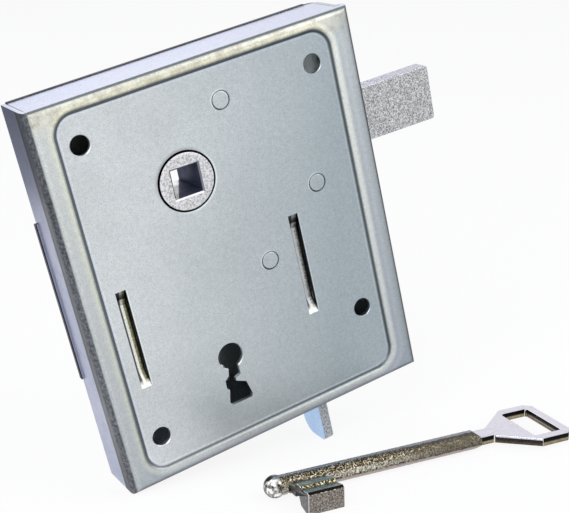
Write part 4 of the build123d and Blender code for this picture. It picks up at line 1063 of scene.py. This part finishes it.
def makeKeyBow(sizes, toSpace):
    # rows follow the outer outline, then the opening's outline, at the same angles about the opening's middle
    half = sizes["bowHalf"]
    collar = sizes["collarHalf"]
    cut = sizes["cornerCut"]
    side = [(sizes["neckFrom"], -collar), (sizes["flareFrom"], -collar), (sizes["widestFrom"], -half),
            (sizes["cutFrom"], -half), (sizes["end"], -half + cut)]
    corners = side + [(s, -t) for s, t in side[::-1]]
    rounds = [0.0003, 0.0016, 0.0005, 0.0004, 0.0004]
    outer = roundedOutline(corners, rounds + rounds[::-1], 6)
    h0, h1, hw = sizes["holeFrom"], sizes["holeTo"], sizes["holeHalf"]
    hole = roundedOutline([(h0, -hw), (h1, -hw), (h1, hw), (h0, hw)], sizes["holeRound"], 8)
    centre = np.array([(h0 + h1) / 2, 0.0])
    spots = [np.arctan2(c[:, 1] - centre[1], c[:, 0] - centre[0]) for c in (outer, hole)]
    angles = np.unique(np.round(np.concatenate(spots + [np.linspace(-np.pi, np.pi, 200, endpoint=False)]), 5))
    outerLine = rayHits(outer, centre, angles)
    holeLine = rayHits(hole, centre, angles)
    outerIn = -outlineNormals(outerLine)
    holeOut = outlineNormals(holeLine)
    thick = sizes["bowThick"] / 2
    rows = bevelRows(-thick, thick, sizes["bowEdge"])
    outerRows = outerLine[None] + outerIn[None] * rows[:, :1, None]
    holeRows = (holeLine[None] + holeOut[None] * rows[:, :1, None])[::-1]
    flat = np.concatenate([outerRows, holeRows])
    height = np.concatenate([rows[:, 1], rows[::-1, 1]])
    points = toSpace(flat[..., 0], flat[..., 1], np.broadcast_to(height[:, None], flat.shape[:2]))
    faces = gridFaces(len(flat), len(angles), closedRows=True)
    piece = makePiece("keyBow", points.reshape(-1, 3), faces, nickelBow, "key", ["key"])
    wall = np.concatenate([rows[:, 0], rows[::-1, 0]]) < sizes["bowEdge"] * 0.3
    around = np.ones(len(angles))
    setAttribute(piece, "wall", wall[:, None] * around)
    flatPart = thick - sizes["bowEdge"]
    setAttribute(piece, "rise", np.clip((height / flatPart + 1) / 2, 0, 1)[:, None] * around)


keySpace = keyFrame(keySizes)
makeKeyShaft(keySizes, keySpace)
makeKeyBit(keySizes, keySpace)
makeKeyBow(keySizes, keySpace)
print("key made")


# latch: hub with a square hole, and the bar

latchSizes = {
    "front": -0.0174,
    "back": -0.0002,
    "hub": 0.00845,
    "hubEdge": 0.0003,
    "drum": 0.0115,
    "drumFront": -0.01565,
    "drumBack": -0.0017,
    "square": 0.00425,
    "mouth": 0.0047,
    "mouthDeep": 0.00045,
    "droop": 1.5,                        # degrees
    "barFrom": 0.0047,
    "barTo": 0.0874,
    "rootHalf": 0.0080,
    "tipHalf": 0.0085,
    "reliefTo": 0.058,                   # inside the case the top lies lower, clear of the spring's leg at rest
    "reliefHalf": 0.0078,
    "barFront": -0.01275,
    "barBack": -0.00725,
    "barCorner": 0.0009,
    "barEdge": 0.00030,
}


def makeLatchHub(sizes):
    # rings from the square hole out over the face, down the outside, and back up the square hole: each ring lies
    # at the same angles, at a circle's radius or a square's half side over the larger of cosine and sine
    angles = np.linspace(0, 2 * np.pi, 192, endpoint=False) + np.pi / 4
    reach = np.maximum(np.abs(np.cos(angles)), np.abs(np.sin(angles)))
    hub, edge, drum = sizes["hub"], sizes["hubEdge"], sizes["drum"]
    front, back = sizes["front"], sizes["back"]
    turns = np.linspace(0, np.pi / 2, 5)
    rings = [("square", sizes["mouth"], front, 1), ("round", hub - 0.0018, front, 1), ("round", hub - 0.0009, front, 1)]
    rings += [("round", hub - edge * (1 - math.sin(t)), front + edge * (1 - math.cos(t)), 1) for t in turns]
    rings += [("round", hub, sizes["drumFront"], 0), ("round", drum, sizes["drumFront"], 0),
              ("round", drum, sizes["drumBack"], 0), ("round", hub, sizes["drumBack"], 0),
              ("round", hub, back, 0), ("square", sizes["mouth"], back, 0),
              ("square", sizes["square"], back - sizes["mouthDeep"], 0),
              ("square", sizes["square"], front + sizes["mouthDeep"], 0),
              ("square", sizes["square"] + 0.00002, front + sizes["mouthDeep"] - 0.00002, 1)]
    # hollow marks where the casting's painted shade goes, the square hole and its upper-left chamfers; dark marks the
    # hub's round edge for a painted shadow line
    points, ground, hollow, dark = [], [], [], []
    upperLeft = (np.sin(angles) - np.cos(angles)) / reach > 0.02
    for kind, size, y, isGround in rings:
        radius = size / reach if kind == "square" else np.full(len(angles), size)
        x, z = radius * np.cos(angles), radius * np.sin(angles)
        points.append(np.stack([x, np.full(len(angles), y), z], axis=1))
        ground.append(np.full(len(angles), isGround))
        inside = kind == "square" and size == sizes["square"]
        chamfer = kind == "square" and size < sizes["mouth"] and not inside
        hollow.append(np.where(upperLeft & chamfer, 1.0, float(inside)))
        dark.append(np.full(len(angles), float(kind == "round" and size > hub - 0.00014)))
    faces = gridFaces(len(rings), len(angles), closedRows=True)
    turned = turnedDown(np.concatenate(points), sizes["droop"])
    piece = makePiece("latchHub", turned, faces, castZinc, "latch", ["lifting_latch"], 30.0)
    for name, values in (("ground", ground), ("hollow", hollow), ("dark", dark)):
        setAttribute(piece, name, np.concatenate(values))


def turnedDown(points, degrees):
    # turned about the y axis through the origin so that the +x side sinks
    angle = math.radians(degrees)
    x = points[..., 0] * math.cos(angle) + points[..., 2] * math.sin(angle)
    z = points[..., 2] * math.cos(angle) - points[..., 0] * math.sin(angle)
    return np.stack([x, points[..., 1], z], axis=-1)


def makeLatchBar(sizes):
    # a plate in x and z with bevelled edges and a low top at the root, turned down by the droop
    corners = [(sizes["barFrom"], -sizes["rootHalf"]), (sizes["barTo"], -sizes["tipHalf"]),
               (sizes["barTo"], sizes["tipHalf"]), (sizes["reliefTo"] + 0.001, sizes["tipHalf"] - 0.0002),
               (sizes["reliefTo"], sizes["reliefHalf"]), (sizes["barFrom"], sizes["reliefHalf"])]
    corner = sizes["barCorner"]
    outline = roundedOutline(corners, [0.0001, corner, corner, 0.0001, 0.0001, 0.0001], 6)
    bevelledPlate("latchBar", outline, sizes["barFront"], sizes["barBack"], sizes["barEdge"],
                  lambda x, z, y: turnedDown(np.stack([x, y, z], axis=-1), sizes["droop"]),
                  castZinc, "latch", ["lifting_latch"])


makeLatchHub(latchSizes)
makeLatchBar(latchSizes)
print("latch made")


# riveted posts

postSizes = {
    "face": -0.01712,
    "tenon": 0.0027,
    "tenonEdge": 0.00045,
    "panelBack": -0.01585,
    "back": -0.0015,
    "places": {
        "latch_spring_post": (0.0158, 0.0189, 0.0036, -0.0015),
        "latch_stop_post": (0.0401, -0.01478, 0.0050, -0.0015),
        "bolt_guide_post": (0.0196, -0.0323, 0.0042, -0.0136),
    },
    "guideNeck": 0.0025,
}


def makePosts(sizes):
    # a riveted end that domes a little and rounds off into the ring round it, then the post behind the panel
    for node, (x, z, radius, shoulder) in sizes["places"].items():
        tenon, edge, face = sizes["tenon"], sizes["tenonEdge"], sizes["face"]
        turns = np.linspace(0, np.pi / 2, 6)
        dome = [(r, face + 0.00004 * (r / tenon) ** 2) for r in (0.0002, 0.0010, 0.0018)]
        edges = [(tenon - edge * (1 - math.sin(t)), face + 0.00005 + edge * (1 - math.cos(t))) for t in turns]
        body = [(tenon, sizes["panelBack"]), (radius, sizes["panelBack"]), (radius, shoulder)]
        if shoulder < sizes["back"]:
            body += [(sizes["guideNeck"], shoulder), (sizes["guideNeck"], sizes["back"])]
        turnedPiece(node.replace("_", " ").title().replace(" ", "") + "Form", np.array(dome + edges + body), x, z,
                    zincRivet, "case", [node], 64)


makePosts(postSizes)
print("posts made")


# thumb tab

tabSizes = {
    "from": 0.0252,
    "to": 0.0284,
    "front": -0.0147,
    "back": -0.0025,
    "foot": -0.0989,
    "top": -0.0790,
    "tenonTop": -0.0740,
    "tenonMiddle": -0.008675,
    "tenonHalf": 0.0015,
    "frontRound": 0.0022,
    "backRound": 0.0052,
    "edge": 0.00018,
}


def makeTab(sizes):
    # the side view in y and z with its tenon, given its thickness along x
    tenonFront = sizes["tenonMiddle"] - sizes["tenonHalf"]
    tenonBack = sizes["tenonMiddle"] + sizes["tenonHalf"]
    front, back, foot, top, high = (sizes[key] for key in ("front", "back", "foot", "top", "tenonTop"))
    corners = [(front, foot), (back, foot), (back, top), (tenonBack, top), (tenonBack, high), (tenonFront, high),
               (tenonFront, top), (front, top)]
    fine = 0.0001
    rounds = [sizes["frontRound"], sizes["backRound"]] + [fine] * 6
    outline = roundedOutline(corners, rounds, 8)
    bevelledPlate("thumbTab", outline, sizes["from"], sizes["to"], sizes["edge"],
                  lambda y, z, x: np.stack([x, y, z], axis=-1), blueZinc, "night_bolt",
                  ["night_bolt_tab"])


makeTab(tabSizes)
print("tab made")


# CAD nodes that keep their shape get their finishes

nodeFinishes = {"case_cover": zincCover, "base_plate": zincPlate}
for name, node in nodes.items():
    finish = nodeFinishes.get(name) or insideMetals.get(node.data.materials[0].name) or insideMetals["turned_steel"]
    node.data.materials.clear()
    node.data.materials.append(finish)
print("nodes finished")
